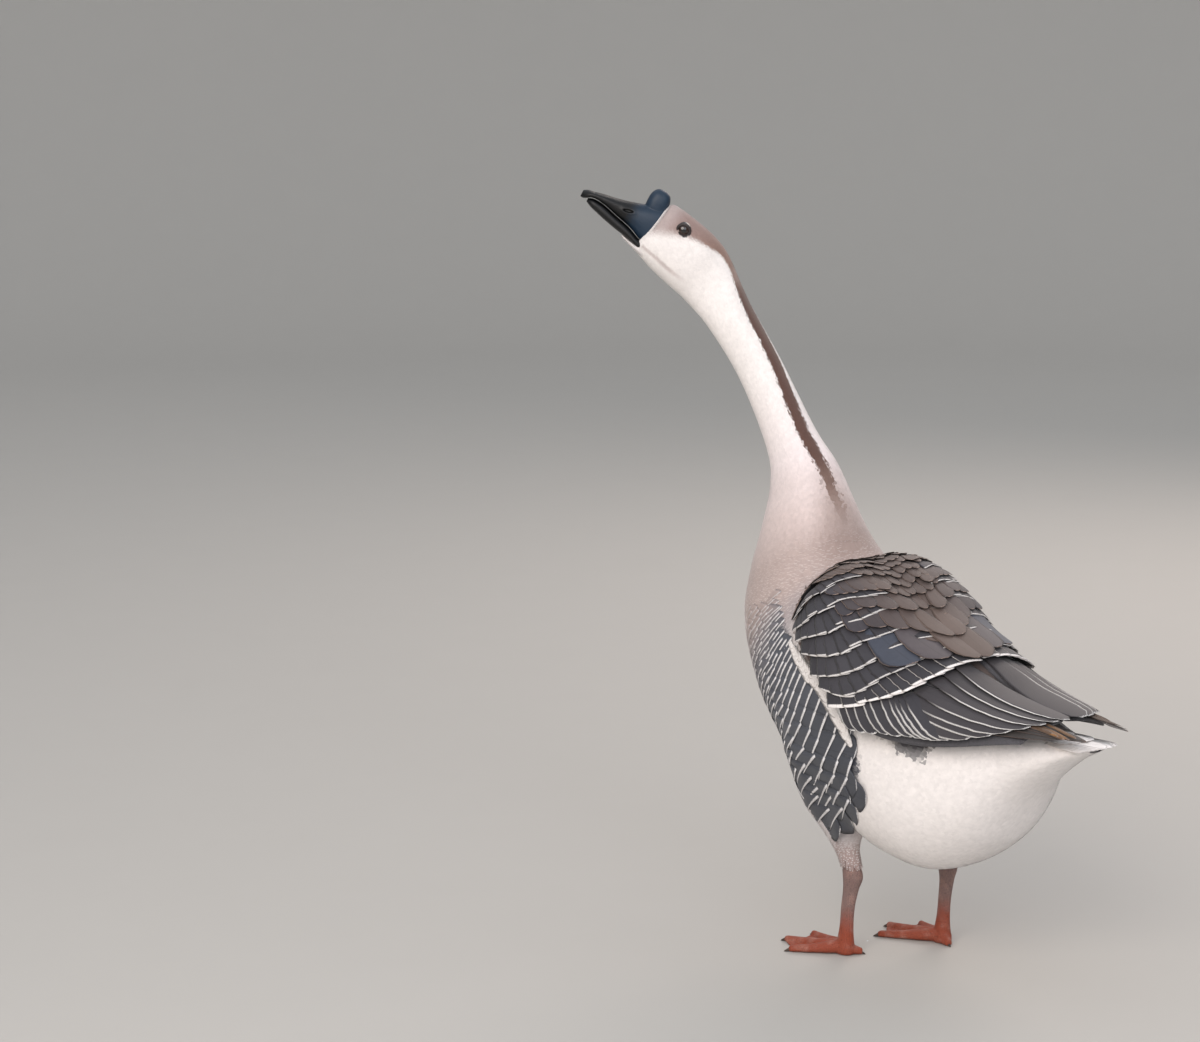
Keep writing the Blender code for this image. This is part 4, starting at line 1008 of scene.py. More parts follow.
def legTable(x, y):
    inward = -math.copysign(1, x)
    return np.array([
        (x, y + 0.002, 0.010, 0.0098, 0.0115),
        (x, y + 0.002, 0.021, 0.0085, 0.0105),
        (x, y + 0.003, 0.034, 0.0064, 0.0094),
        (x, y + 0.005, 0.060, 0.0060, 0.0092),
        (x + inward * 0.001, y + 0.009, 0.085, 0.0073, 0.0106),
        (x + inward * 0.002, y + 0.011, 0.100, 0.0098, 0.0133),
        (x + inward * 0.002, y + 0.007, 0.116, 0.0100, 0.0125),
        (x + inward * 0.001, y + 0.000, 0.135, 0.0125, 0.0150),
        (x, y - 0.006, 0.158, 0.0215, 0.0255),
        (x + inward * 0.006, y - 0.020, 0.190, 0.0335, 0.0470),
        (x + inward * 0.014, y - 0.026, 0.210, 0.0360, 0.0510),
    ])


def legSurface(foot, grow=0.0):
    x, y, turn, _ = foot
    table = legTable(x, y)
    c, s = math.cos(math.radians(turn)), math.sin(math.radians(turn))

    def point(z, angle):
        row = smoothCurve(table[:, 2], table, z)
        across, along = (row[:, 3] + grow) * np.cos(angle), (row[:, 4] + grow) * np.sin(angle)
        return np.stack([row[:, 0] + across * c - along * s, row[:, 1] + across * s + along * c, z], 1)

    return {"point": point, "turn": -1, "flow": -1, "steps": (0.0005, 0.01)}


def tubeOn(surface, along, sides):
    angles = circle(sides)
    return np.array([surface["point"](np.full(sides, p), angles) for p in along])


def toeRings(x, y, turn, length, count=40, sides=20):
    # Rings of a toe, thicker at each joint, from the foot's joint to the last one
    heading = math.radians(turn)
    side = np.array([math.cos(heading), math.sin(heading), 0.0])
    rings = []
    for t in np.linspace(0, 1, count):
        rise = 0.0056 * (1 - t) ** 1.6 + 0.0034
        half = 0.0070 * (1 - t) ** 0.6 + 0.0030
        half *= 1 + 0.07 * math.cos(t * math.tau * 3)
        if t > 0.93:
            shrink = math.sqrt(max(0.04, 1 - ((t - 0.93) / 0.07) ** 2))
            half, rise = half * shrink, rise * (0.4 + 0.6 * shrink)
        run = length * t * 0.94
        centre = np.array([x + math.sin(heading) * run, y - math.cos(heading) * run, rise])
        a = math.tau * (np.arange(sides) + 0.5) / sides
        up = np.where(np.sin(a) > 0, rise + 0.0016, rise - 0.0002) * np.sin(a)
        rings.append(centre + side * (half * np.cos(a))[:, None] + np.array([0, 0, 1.0]) * up[:, None])
    return np.array(rings)


def webObject(x, y, turnA, lengthA, turnB, lengthB):
    # The skin between two toes, with a sagging free edge
    rows, columns = 20, 18
    t, s = np.meshgrid(0.10 + 0.83 * np.linspace(0, 1, rows), np.linspace(0, 1, columns), indexing="ij")
    turn = np.radians(turnA + (turnB - turnA) * s)
    length = (lengthA + (lengthB - lengthA) * s) * t * (1 - 0.15 * np.sin(math.pi * s) * t**3)
    px, py = x + np.sin(turn) * length, y - np.cos(turn) * length
    fold = 0.0004 * np.sin(s * math.pi * 6) * t
    top = 0.0040 * (1 - t) ** 1.5 + 0.0028 - 0.0010 * np.sin(math.pi * s) + fold
    upper, lower = np.stack([px, py, top], -1), np.stack([px, py, 0.0006 + 0 * top], -1)
    rings = np.concatenate([upper, lower[:, ::-1]], 1)
    return tubeObject("web", rings)


def footPieces(foot):
    x, y, turn, mirror = foot
    spread = toes["spread"]
    turns = {"inner": turn - mirror * spread, "middle": turn, "outer": turn + mirror * spread,
             "hind": turn + 180 - mirror * 25}
    made = [tubeObject("toe", toeRings(x, y, turns[k], toes[k])) for k in turns]
    for a, b in (("inner", "middle"), ("middle", "outer")):
        made.append(webObject(x, y, turns[a], toes[a], turns[b], toes[b]))
    angles = circle(28)
    knuckle = [np.stack([x + 0.0115 * w * np.cos(angles), y + 0.001 + 0.0135 * w * np.sin(angles),
                         0 * angles + z], 1)
               for z, w in ((0.0006, 0.85), (0.004, 1.0), (0.010, 0.98), (0.016, 0.82), (0.021, 0.68))]
    return made + [tubeObject("joint", np.array(knuckle))], turns


claw = {"long": 0.0085, "half": 0.0026}


def clawObject(foot, turns, name):
    # Blunt curved nails over the toe tips
    x, y, _, _ = foot
    places, faces, start = [], [], 0
    for k, turn in turns.items():
        heading = math.radians(turn)
        along = np.array([math.sin(heading), -math.cos(heading), 0])
        side = np.array([math.cos(heading), math.sin(heading), 0])
        size = 0.8 if k == "hind" else 1.0
        base = np.array([x, y, 0.0]) + along * (toes[k] * 0.94 - 0.0032)
        a = circle(14)
        rings = []
        for t in np.linspace(0, 1, 9):
            half = claw["half"] * size * (1 - t) ** 0.55 + 0.0002
            rise = 0.0040 * (1 - t) ** 0.8 + 0.0004
            centre = base + along * claw["long"] * size * t + np.array([0, 0, rise * 0.72])
            rings.append(centre + side * (half * np.cos(a))[:, None]
                         + np.array([0, 0, 1.0]) * (np.minimum(half, rise * 0.7) * np.sin(a))[:, None])
        flat = np.vstack([np.array(rings).reshape(-1, 3), rings[0].mean(0), rings[-1].mean(0)])
        places.append(flat)
        faces.append(tubeFaces(9, 14) + start)
        start += len(flat)
    made = faceOut(solidMesh(name, np.concatenate(places), np.concatenate(faces)))
    made.data.materials.append(clawMaterial)
    return made


def legSkin(name):
    foot = feet[name]
    pieces, turns = footPieces(foot)
    along = np.concatenate([np.linspace(0.010, 0.12, 56), np.linspace(0.125, 0.205, 20)])
    leg = tubeObject("leg", tubeOn(legSurface(foot), along, 40))
    return joined(leg, pieces, voxel=0.0011, smooth=3), turns


# One skin over torso, neck, head, thighs, shanks and feet
skinDepth = ((0, 0.0018), (7.5, 0.0018), (9.5, 0.0014), (12.5, 0.0012), (15.5, 0.0010), (17.0, 0.0008),
             (22, 0.0007))


def bodyRings(count, sides):
    along = np.linspace(0.0, bodyEnd, count)
    angles = circle(sides)
    rings = []
    for at in along:
        p = np.full(sides, at)
        _, _, out = frameOn(body, np.clip(p, 0.02, bodyEnd - 0.02), angles)
        rings.append(bodyPoint(p, angles) - out * tableOf(skinDepth, at))
    return np.array(rings)


chinTable = np.array([
    (0.014, -0.0300, -0.0620, 0.0190, 2.2),
    (0.038, -0.0440, -0.0548, 0.0130, 2.2),
    (0.052, -0.0445, -0.0502, 0.0095, 2.2),
    (0.064, -0.0425, -0.0460, 0.0045, 2.2),
])


def headTube(table, shrink=0.0):
    # A surface over a table of forward, top, bottom, half width and fullness in the head's own axes
    def point(forward, angle):
        row = smoothCurve(table[:, 0], table, forward)
        middle, half = (row[:, 1] + row[:, 2]) / 2, (row[:, 1] - row[:, 2]) / 2 - shrink
        return headPoint(forward, middle + half * bent(np.sin(angle), 2 / row[:, 4]),
                         (row[:, 3] - shrink) * bent(np.cos(angle), 2 / row[:, 4]))

    return {"point": point, "turn": -1, "flow": -1, "steps": (0.0004, 0.01)}


def skinMaterial():
    # Feathered skin: matt, tinted with the plumage's own markings
    made, tree, shader = material("feathered_skin", 0.8, Sheen_Weight=0.15)
    own = node(tree, "Attribute", attribute_name="marking")
    place = node(tree, "TexCoord").outputs["Object"]
    noise = node(tree, "TexNoise", {"Vector": place, "Scale": 700.0, "Detail": 3.0})
    shade = node(tree, "Math", {0: noise, 1: 0.2, 2: 0.84}, operation="MULTIPLY_ADD")
    dimmed = node(tree, "VectorMath", {0: own, "Scale": shade}, operation="SCALE")
    joinLook(tree, shader, dimmed.outputs[0], noise, 0.0004)
    return made


# Bare leg skin: small plates on the shank and toes, dusky pink above and orange red on the feet
legLook = {"upper": "#8E746F", "lower": "#9E4A32", "pale": "#C39A8C", "scaleSize": 0.0021, "roughness": 0.52}


def legMaterial():
    made, tree, shader = material("scaly_leg_skin", legLook["roughness"], Specular_IOR_Level=0.4,
                                  Subsurface_Weight=0.08, Subsurface_Scale=0.002)
    place = node(tree, "TexCoord").outputs["Object"]
    split = node(tree, "SeparateXYZ", {0: place})
    plates = node(tree, "TexVoronoi", {"Vector": place, "Scale": 1 / legLook["scaleSize"], "Randomness": 0.7},
                  feature="DISTANCE_TO_EDGE")
    grooves = node(tree, "MapRange", {0: plates.outputs["Distance"], 1: 0.0, 2: 0.16},
                   interpolation_type="SMOOTHSTEP")
    patches = node(tree, "TexNoise", {"Vector": place, "Scale": 70.0, "Detail": 3.0})
    height = node(tree, "Math", {0: patches, 1: 0.03, 2: split.outputs[2]}, operation="MULTIPLY_ADD")
    low = node(tree, "MapRange", {0: height, 1: 0.085, 2: 0.035}, interpolation_type="SMOOTHSTEP")
    flesh = node(tree, "Mix", {0: low, 6: linear(legLook["upper"]), 7: linear(legLook["lower"])},
                 data_type="RGBA")
    worn = node(tree, "MapRange", {0: patches, 1: 0.45, 2: 0.75, 4: 0.4}, interpolation_type="SMOOTHSTEP")
    flesh = node(tree, "Mix", {0: worn, 6: flesh.outputs[2], 7: linear(legLook["pale"])}, data_type="RGBA")
    shade = node(tree, "Math", {0: grooves, 1: 0.38, 2: 0.62}, operation="MULTIPLY_ADD")
    dimmed = node(tree, "VectorMath", {0: flesh.outputs[2], "Scale": shade}, operation="SCALE")
    joinLook(tree, shader, dimmed.outputs[0], grooves, 0.0003)
    return made


def hornMaterial(name, dark, light, lightFrom):
    # Bill horn: near black at the tip, slate blue towards the face and on the knob, partly the horn's own
    # slate and partly a painted blue sheen, with fine pits
    made, tree, shader = material(name, 0.42, Specular_IOR_Level=0.4)
    place = node(tree, "TexCoord").outputs["Object"]
    noise = node(tree, "TexNoise", {"Vector": place, "Scale": 190.0, "Detail": 5.0, "Roughness": 0.65})
    tint = node(tree, "Attribute", attribute_name="tint").outputs["Fac"]
    patches = node(tree, "Math", {0: noise, 1: 0.5, 2: tint}, operation="MULTIPLY_ADD")
    share = node(tree, "MapRange", {0: patches, 1: lightFrom + 0.25, 2: lightFrom + 0.95},
                 interpolation_type="SMOOTHSTEP")
    coloured = node(tree, "Mix", {0: share, 6: linear(dark), 7: linear(light)}, data_type="RGBA")
    rough = node(tree, "Math", {0: noise, 1: 0.22, 2: 0.34}, operation="MULTIPLY_ADD")
    tree.links.new(rough.outputs[0], shader.inputs["Roughness"])
    pits = node(tree, "TexNoise", {"Vector": place, "Scale": 900.0, "Detail": 2.0})
    relief = node(tree, "Math", {0: noise, 1: 2.0, 2: pits}, operation="MULTIPLY_ADD")
    joinLook(tree, shader, coloured.outputs[2], relief, 0.00018)
    return made


def clawMaterialMade():
    # Claws: dark brown horn in mottled tones
    made, tree, shader = material("claw_horn", 0.38)
    place = node(tree, "TexCoord").outputs["Object"]
    noise = node(tree, "TexNoise", {"Vector": place, "Scale": 500.0, "Detail": 3.0})
    coloured = node(tree, "Mix", {0: noise, 6: linear("#2C211C"), 7: linear("#5A4A40")}, data_type="RGBA")
    joinLook(tree, shader, coloured.outputs[2], noise, 0.0002)
    return made


clawMaterial = clawMaterialMade()
legs, claws = [], []
for name in feet:
    skinned, turns = legSkin(name)
    legs.append(skinned)
    claws.append(clawObject(feet[name], turns, "claws_" + name))
report("legs and feet")
skin = tubeObject("skin", bodyRings(325, 116))
chin = tubeObject("chin", tubeOn(headTube(chinTable, 0.0008), np.linspace(0.014, 0.064, 40), 40))
joined(skin, [chin, *legs])
skin.name = skin.data.name = "skin"


def paintSkin(made):
    # Gives every point of the skin the marking of the nearest place of the body
    at, angle = np.meshgrid(np.linspace(0, bodyEnd, 260), np.arange(0, 360, 3.0), indexing="ij")
    places = bodyPoint(at.ravel(), np.radians(angle.ravel())) + moved
    tree = KDTree(len(places))
    for i, place in enumerate(places):
        tree.insert(place, i)
    tree.balance()
    base, _, _ = bodyMarking(at.ravel(), angle.ravel())
    mesh = made.data
    points = np.empty(len(mesh.vertices) * 3, np.float32)
    mesh.vertices.foreach_get("co", points)
    points = points.reshape(-1, 3)
    found = np.array([tree.find(p)[1] for p in points])
    colours = base[found]
    leg = points[:, 2] - moved[2] < 0.165
    colours[leg] = tone["white"]
    away = points - moved - np.array(head["eyes"])
    ahead, above, left = headAxes()
    rim = np.hypot((away @ ahead) / 1.12, away @ above)
    colours[(rim < lidReach + 0.0004) & (np.abs(away @ left) > 0.012)] = tone["lidSkin"]
    values = np.concatenate([colours, np.ones((len(colours), 1))], 1).astype(np.float32)
    mesh.attributes.new("marking", "FLOAT_COLOR", "POINT").data.foreach_set("color", values.ravel())
    mesh.materials.clear()
    mesh.materials.append(skinMaterial())
    mesh.materials.append(legMaterial())
    centres = np.empty(len(mesh.polygons) * 3, np.float32)
    mesh.polygons.foreach_get("center", centres)
    bare = (centres.reshape(-1, 3)[:, 2] - moved[2] < 0.124).astype(np.int32)
    mesh.polygons.foreach_set("material_index", bare)
    mesh.update()


paintSkin(skin)
print("skin", len(skin.data.polygons), "faces")
report("skin")

# Flank feathers: broad and blunt, in rows that lean forward as they go down. Each row is a station of
# the body at its top; the feathers lie on a drape over body and thigh, with pale tips in long lines.
flanks = {"front": 9.4, "rear": 4.15, "top": 15.0, "low": -54.0, "hem": 0.153, "axis": (0.0, -0.05),
          "seed": 21}


def flankSlant(degrees):
    t = np.maximum(12 - degrees, 0)
    return 0.009 * t + 0.00011 * t * t


def drapeSurface():
    # A smooth cover round the body and thighs: how far the skin stands from an upright axis
    turns, heights = np.radians(np.arange(-180, 361, 3.0)), np.arange(0.100, 0.520, 0.006)
    x0, y0 = flanks["axis"]
    tree = BVHTree.FromObject(skin, bpy.context.evaluated_depsgraph_get())
    reach = np.zeros((len(turns), len(heights)))
    for i, turn in enumerate(turns):
        away = Vector((math.cos(turn), math.sin(turn), 0))
        for j, height in enumerate(heights):
            hit = tree.ray_cast(Vector((x0, y0, height)) + Vector(moved) + away * 0.6, -away)[0]
            if hit is not None:
                reach[i, j] = (hit - Vector(moved) - Vector((x0, y0, height))).dot(away)
    for j in range(len(heights) - 2, -1, -1):
        reach[:, j] = np.maximum(reach[:, j], reach[:, j + 1] - 0.0075)
    for j in range(1, len(heights)):
        fall = np.interp(heights[j], (0.265, 0.33), (-0.0021, 0.03))
        reach[:, j] = np.maximum(reach[:, j], reach[:, j - 1] - fall)
    for _ in range(4):
        wide = np.pad(reach, 1, mode="edge")
        reach = (wide[:-2, 1:-1] + wide[2:, 1:-1] + wide[1:-1, :-2] + wide[1:-1, 2:] + 2 * reach) / 6

    def spread(share):
        # Catmull-Rom weights of four neighbours
        s = share[:, None]
        weights = [-s**3 + 2 * s**2 - s, 3 * s**3 - 5 * s**2 + 2, -3 * s**3 + 4 * s**2 + s, s**3 - s**2]
        return np.concatenate(weights, 1) / 2

    def point(turn, height):
        i = (turn - turns[0]) / (turns[1] - turns[0])
        j = (height - heights[0]) / (heights[1] - heights[0])
        a = np.clip(i.astype(int), 1, len(turns) - 3)
        b = np.clip(j.astype(int), 1, len(heights) - 3)
        wa, wb = spread(i - a), spread(j - b)
        r = 0.0016 + sum(wa[:, m] * wb[:, n] * reach[a + m - 1, b + n - 1]
                         for m in range(4) for n in range(4))
        return np.stack([x0 + r * np.cos(turn), y0 + r * np.sin(turn), height], 1)

    return {"point": point, "turn": 1, "flow": 1, "steps": (0.004, 0.001)}


def onDrape(places):
    # The drape's own coordinates of places on the body
    x0, y0 = flanks["axis"]
    return np.arctan2(places[:, 1] - y0, places[:, 0] - x0), places[:, 2]


def flankVanes(side, drape):
    chance = np.random.default_rng(flanks["seed"] + side)
    surface = {**drape, "flow": side}
    rows, at = [], flanks["rear"]
    while at < flanks["front"]:
        rows.append(at)
        at += np.interp(at, (4.9, 5.2, 6.0, 6.6, 7.2, 8.0, 9.5),
                        (0.30, 0.34, 0.29, 0.205, 0.158, 0.122, 0.095))
    laid = []
    for number, at in enumerate(rows[::-1]):
        down = np.linspace(flanks["top"], flanks["low"], 60)
        course = at + flankSlant(down) * np.interp(at, (5.0, 6.4), (1.4, 1.0))
        turn, height = onDrape(bodyPoint(course, np.radians(down)))
        # on below the body's own side, over the thigh
        steps = np.arange(1, 12)
        down = np.append(down, down[-1] + (down[-1] - down[-2]) * steps)
        course = np.append(course, course[-1] + (course[-1] - course[-5]) / 4 * steps)
        turn = np.append(turn, turn[-1] + (turn[-1] - turn[-5]) / 4 * steps)
        height = np.append(height, height[-1] + (height[-1] - height[-5]) / 4 * steps)
        keep = height > flanks["hem"] + 0.5 * np.maximum(course[59] - 6.6, 0) * 0.05
        keep &= course > flankRear(down) - 0.05
        turn, height, down, course = turn[keep], height[keep], down[keep], course[keep]
        if len(turn) < 8:
            continue
        places = surface["point"](turn, height)
        run = np.concatenate([[0], np.cumsum(lengthOf(np.diff(places, axis=0))[:, 0])])
        wide = np.interp(at, (5.0, 6.2, 7.2, 9.5), (0.046, 0.044, 0.038, 0.022))
        step = wide * 0.68
        spots = np.arange(run[-1] - step * 0.2 * (1 + number % 3), 0, -step)
        spots = spots + chance.uniform(-0.10, 0.10, len(spots)) * step
        if len(spots) < 2:
            spots = run[-1] * np.array([0.25, 0.8])
        turn, height = np.interp(spots, run, turn), np.interp(spots, run, height)
        count = len(spots)
        station = np.interp(spots, run, course)
        last = station - flankRear(np.interp(spots, run, down)) < 0.34
        long = np.interp(at, (5.0, 6.5, 8.0, 9.5), (0.060, 0.050, 0.036, 0.024))
        long = long * chance.uniform(0.95, 1.05, count)
        if side < 0:
            turn = math.pi - turn
        turn = turn + chance.normal(0, 0.004, count)
        heading = chance.normal(0, 0.03, count)
        rootP, rootQ, heading, skew = tipRow(surface, turn, height, heading, long)
        fade = ramp(station, 9.6, 7.9)
        light = mix(tone["breast"], tone["fawn"], ramp(station, 8.5, 9.4))
        dark = mix(tone["slate"], tone["slateRear"], ramp(at, 6.8, 5.6))
        base = mix(light, dark, fade)
        base = base * (1 + chance.uniform(-0.08, 0.08, (count, 1)) * fade[:, None])
        edge = mix(tone["shade"], tone["flankEdge"], fade)
        rise = np.interp(at, (5.0, 7.0, 9.5), (0.0026, 0.0018, 0.0004)) + chance.normal(0, 0.00015, count)
        tip = np.interp(at, (5.2, 6.0, 7.5, 9.4), (0.0028, 0.0030, 0.0024, 0.0013))
        group = layer(rootP, rootQ, heading=heading, length=long, width=wide, low=-0.0016, high=rise,
                      camber=0.008, tilt=0.03 * side, skew=skew * np.where(last, 0.3, 1.0), base=base,
                      edge=edge, tipWidth=np.where(last, 0.0010, tip) / long,
                      bake=np.stack([rootP / math.tau % 1, (rootQ - 0.1) / 0.42], 1), bakeSize=(0.006, 0.010))
        for kind, chosen in (("blunt", ~last), ("round", last)):
            if chosen.any():
                part = {title: values[chosen] for title, values in group.items()}
                laid.append(layVanes(surface, part, 12, 7, kind, 0.0006))
    return laid


# White feathers along the line between flank and wing, end over end
whiteLine = {"course": ((7.75, 18.0), (7.4, 17.3), (7.0, 16.6), (6.6, 17.0), (6.2, 15.8), (5.85, 12.6),
                        (5.55, 9.4)),
             "count": 60, "long": 0.032, "wide": 0.0130, "spread": 0.0036, "seed": 31}


def whiteLineVanes(side, drape):
    chance = np.random.default_rng(whiteLine["seed"] + side)
    surface = {**drape, "flow": side}
    course = np.array(whiteLine["course"])
    t = np.linspace(0, len(course) - 1, 80)
    course = smoothCurve(np.arange(len(course)), course, t)
    turn, height = onDrape(bodyPoint(course[:, 0], np.radians(course[:, 1])))
    share = (np.arange(whiteLine["count"]) + 0.5) / whiteLine["count"]
    size = np.interp(share, (0, 0.2, 0.6, 1), (0.35, 0.75, 1.15, 0.75))
    size = size * chance.uniform(0.95, 1.05, len(share))
    lane = np.where(np.arange(len(share)) % 2, 1, -1) * whiteLine["spread"] * size
    p, q, dp, dq = (np.interp(share * 79, np.arange(80), values)
                    for values in (turn, height, np.gradient(turn), np.gradient(height)))
    q = q + lane
    if side < 0:
        p, dp = math.pi - p, -dp
    byP, byQ, out = frameOn(surface, p, q)
    along = byP * dp[:, None] + byQ * dq[:, None]
    flow = byP * surface["flow"] / lengthOf(byP)
    heading = np.arctan2((along * np.cross(out, flow)).sum(1), (along * flow).sum(1))
    group = layer(p, q, heading=heading + chance.normal(0, 0.05, len(p)), length=whiteLine["long"] * size,
                  width=whiteLine["wide"] * size, low=0.0016, high=0.0038, camber=0.05,
                  base=tone["white"], edge=tone["white"],
                  bake=np.stack([p / math.tau % 1, (q - 0.1) / 0.42], 1), bakeSize=(0.006, 0.006))
    return layVanes(surface, group, 8, 5, "contour", 0.0006)


drape = drapeSurface()
for name, side in (("left", 1), ("right", -1)):
    laid = [*flankVanes(side, drape), whiteLineVanes(side, drape)]
    coatPieces.append(vaneObject("flank_" + name, laid, plumage))
report("flanks")

# Feathers of the thighs and of the chin
thighs = {"span": (0.118, 0.200), "pitch": 0.0036, "long": 0.0150, "wide": 0.0064, "seed": 51}


def thighVanes(name):
    chance = np.random.default_rng(thighs["seed"])
    surface = legSurface(feet[name], 0.0022)
    z, angle = [], []
    for number, height in enumerate(np.arange(*thighs["span"], thighs["pitch"])):
        girth = math.tau * np.interp(height, (0.118, 0.158, 0.2), (0.012, 0.025, 0.036))
        count = int(girth / thighs["pitch"])
        z.append(np.full(count, height) + chance.uniform(-0.001, 0.001, count))
        shift = 0.5 * (number % 2) + chance.uniform(-0.3, 0.3, count)
        angle.append((np.arange(count) + shift) * math.tau / count)
    z, angle = np.concatenate(z), np.concatenate(angle)
    count = len(z)
    grey = mix(tone["dusky"], tone["shade"],
               ramp(z, 0.135, 0.165) * 0.8 + chance.uniform(0, 0.2, count))
    size = np.interp(z, (0.118, 0.15, 0.2), (0.5, 0.8, 1.1))
    group = layer(z, angle, heading=chance.normal(0, 0.12, count), length=thighs["long"] * size,
                  width=thighs["wide"] * size, low=-0.0014, high=0.0001, camber=0.04, base=grey,
                  edge=tone["shade"], edgeWidth=0.05, tipWidth=0.1,
                  bake=np.stack([angle / 2 / math.pi % 1, (z - 0.118) / 0.085], 1))
    return layVanes(surface, group, 4, 3, "contour")


def chinVanes():
    chance = np.random.default_rng(61)
    surface = headTube(chinTable)
    at, turn = np.meshgrid(np.arange(0.016, 0.0635, 0.0012), np.linspace(math.pi, math.tau, 22),
                           indexing="ij")
    at = at.ravel() + chance.uniform(-4e-4, 4e-4, at.size)
    turn = turn.ravel() + chance.uniform(-0.07, 0.07, turn.size)
    # the chin's feathers are a greyer white, painted shade of the underside of the head
    group = layer(at, turn, heading=chance.normal(0, 0.1, len(at)), length=0.0042, width=0.0018,
                  low=-0.0010, high=0.0001, base=mix(tone["white"], tone["shade"], 0.4), edge=tone["white"],
                  bake=np.stack([turn / 2 / math.pi % 1, (at - 0.014) / 0.05], 1))
    return layVanes(surface, group, 3, 3, "tuft")


coatPieces.append(vaneObject("coat_thighs", [thighVanes(name) for name in feet], coatPlumage, soft=True))
coatPieces.append(vaneObject("coat_chin", [chinVanes()], coatPlumage, soft=True))
report("thighs and chin")

# Bill: two horn halves, a knob over the base of the upper one, and slanted nostrils
upperTable = np.array([
    (0.022, 0.012, -0.041, 0.0150, 2.2),
    (0.040, 0.010, -0.039, 0.0165, 2.2),
    (0.058, 0.0035, -0.0315, 0.0158, 2.2),
    (0.082, -0.0038, -0.0255, 0.0145, 2.3),
    (0.105, -0.0085, -0.0200, 0.0138, 2.4),
    (0.120, -0.0120, -0.0200, 0.0120, 2.5),
    (0.129, -0.0140, -0.0255, 0.0085, 2.4),
    (0.1335, -0.0165, -0.0255, 0.0035, 2.2),
])
lowerTable = np.array([
    (0.030, 0.0, -0.0500, 0.0130, 2.4),
    (0.042, 0.0, -0.0482, 0.0142, 2.4),
    (0.060, 0.0, -0.0440, 0.0138, 2.4),
    (0.082, 0.0, -0.0398, 0.0128, 2.4),
    (0.105, 0.0, -0.0342, 0.0116, 2.4),
    (0.118, 0.0, -0.0302, 0.0092, 2.4),
    (0.1235, 0.0, -0.0275, 0.0050, 2.2),
])
lowerTable[:, 1] = np.interp(lowerTable[:, 0], upperTable[:, 0], upperTable[:, 2]) - 0.0006
knob = {"forward": 0.0428, "up": 0.0120, "long": 0.0140, "tall": 0.0185, "wide": 0.0120, "full": 2.5}
nostril = {"forward": 0.072, "up": -0.0125, "long": 0.0062, "tall": 0.0019, "deep": 0.0030, "slant": -0.22}


def inHead(made):
    # The points of an object in the head's own axes: forward, up and to the left
    points = np.empty(len(made.data.vertices) * 3, np.float32)
    made.data.vertices.foreach_get("co", points)
    away = points.reshape(-1, 3) - moved - np.array(head["eyes"])
    return away @ np.stack(headAxes(), 1), points.reshape(-1, 3)


def setPoints(made, points):
    made.data.vertices.foreach_set("co", points.astype(np.float32).ravel())
    made.data.update()


def setTint(made, values):
    made.data.attributes.new("tint", "FLOAT", "POINT").data.foreach_set("value", values.astype(np.float32))


def billUpper():
    surface = headTube(upperTable)
    made = tubeObject("bill_upper_horn", tubeOn(surface, np.linspace(0.022, 0.1335, 90), 64))
    polar, turn = np.meshgrid(np.pi * (np.arange(30) + 0.35) / 29.7, circle(48), indexing="ij")
    full = 2 / knob["full"]
    ringSize = bent(np.sin(polar), full)
    ball = headPoint(knob["forward"] + knob["long"] * ringSize * bent(np.cos(turn), full),
                     knob["up"] + knob["tall"] * bent(np.cos(polar), full),
                     knob["wide"] * ringSize * bent(np.sin(turn), full))
    joined(made, [tubeObject("knob", ball)], voxel=0.0007, smooth=4)
    local, points = inHead(made)
    forward, up, out = local.T
    # nostrils sink in within a low raised rim, and the groove round the nail rings the tip
    f, u = forward - nostril["forward"], up - nostril["up"]
    slanted = u - nostril["slant"] * f
    hole = ramp(np.hypot(f / nostril["long"], slanted / nostril["tall"]), 1.25, 0.55)
    sink = hole * nostril["deep"] * np.sign(out)
    rim = ramp(np.hypot(f / (nostril["long"] * 1.5), slanted / (nostril["tall"] * 2.4)), 1.3, 0.8)
    rim = 0.0004 * rim * (1 - hole)
    groove = 0.00035 * np.exp(-((forward - 0.1195) / 0.0011) ** 2) * (up > -0.0195)
    normals = np.empty(len(points) * 3, np.float32)
    made.data.vertex_normals.foreach_get("vector", normals)
    points = points - (sink * (np.abs(out) > 0.004))[:, None] * headAxes()[2]
    points = points + normals.reshape(-1, 3) * (rim * (np.abs(out) > 0.004) - groove)[:, None]
    setPoints(made, points)
    # slate blue towards the face, along the top near the knob and on the knob: partly the horn's own slate
    # and partly a painted blue sheen
    blue = np.maximum(ramp(forward, 0.090, 0.050), ramp(up, 0.004, 0.016) * ramp(forward, 0.066, 0.056))
    # the nostrils lose the blue and are painted darker, painted shade in their hollows
    setTint(made, blue - 0.8 * hole)
    return made


def billLower():
    made = tubeObject("bill_lower_horn", tubeOn(headTube(lowerTable), np.linspace(0.030, 0.1235, 80), 48))
    local, _ = inHead(made)
    # a faint slate blue towards the face, partly the horn's own slate and partly a painted blue sheen
    setTint(made, 0.35 * ramp(local[:, 0], 0.085, 0.045))
    return made


horn = hornMaterial("bill_horn", "#07080A", "#1C2F42", 0.35)
bills = [billUpper(), billLower()]
for piece in bills:
    piece.data.materials.clear()
    piece.data.materials.append(horn)
    piece.data.shade_smooth()
report("bill")

# Eyes: dark brown iris and black pupil under a clear, wet front, in a dark bare ring of lid
eyeLook = {"pupil": 0.0034, "iris": 0.0062, "irisTone": "#3A2012", "rimTone": "#120B08"}


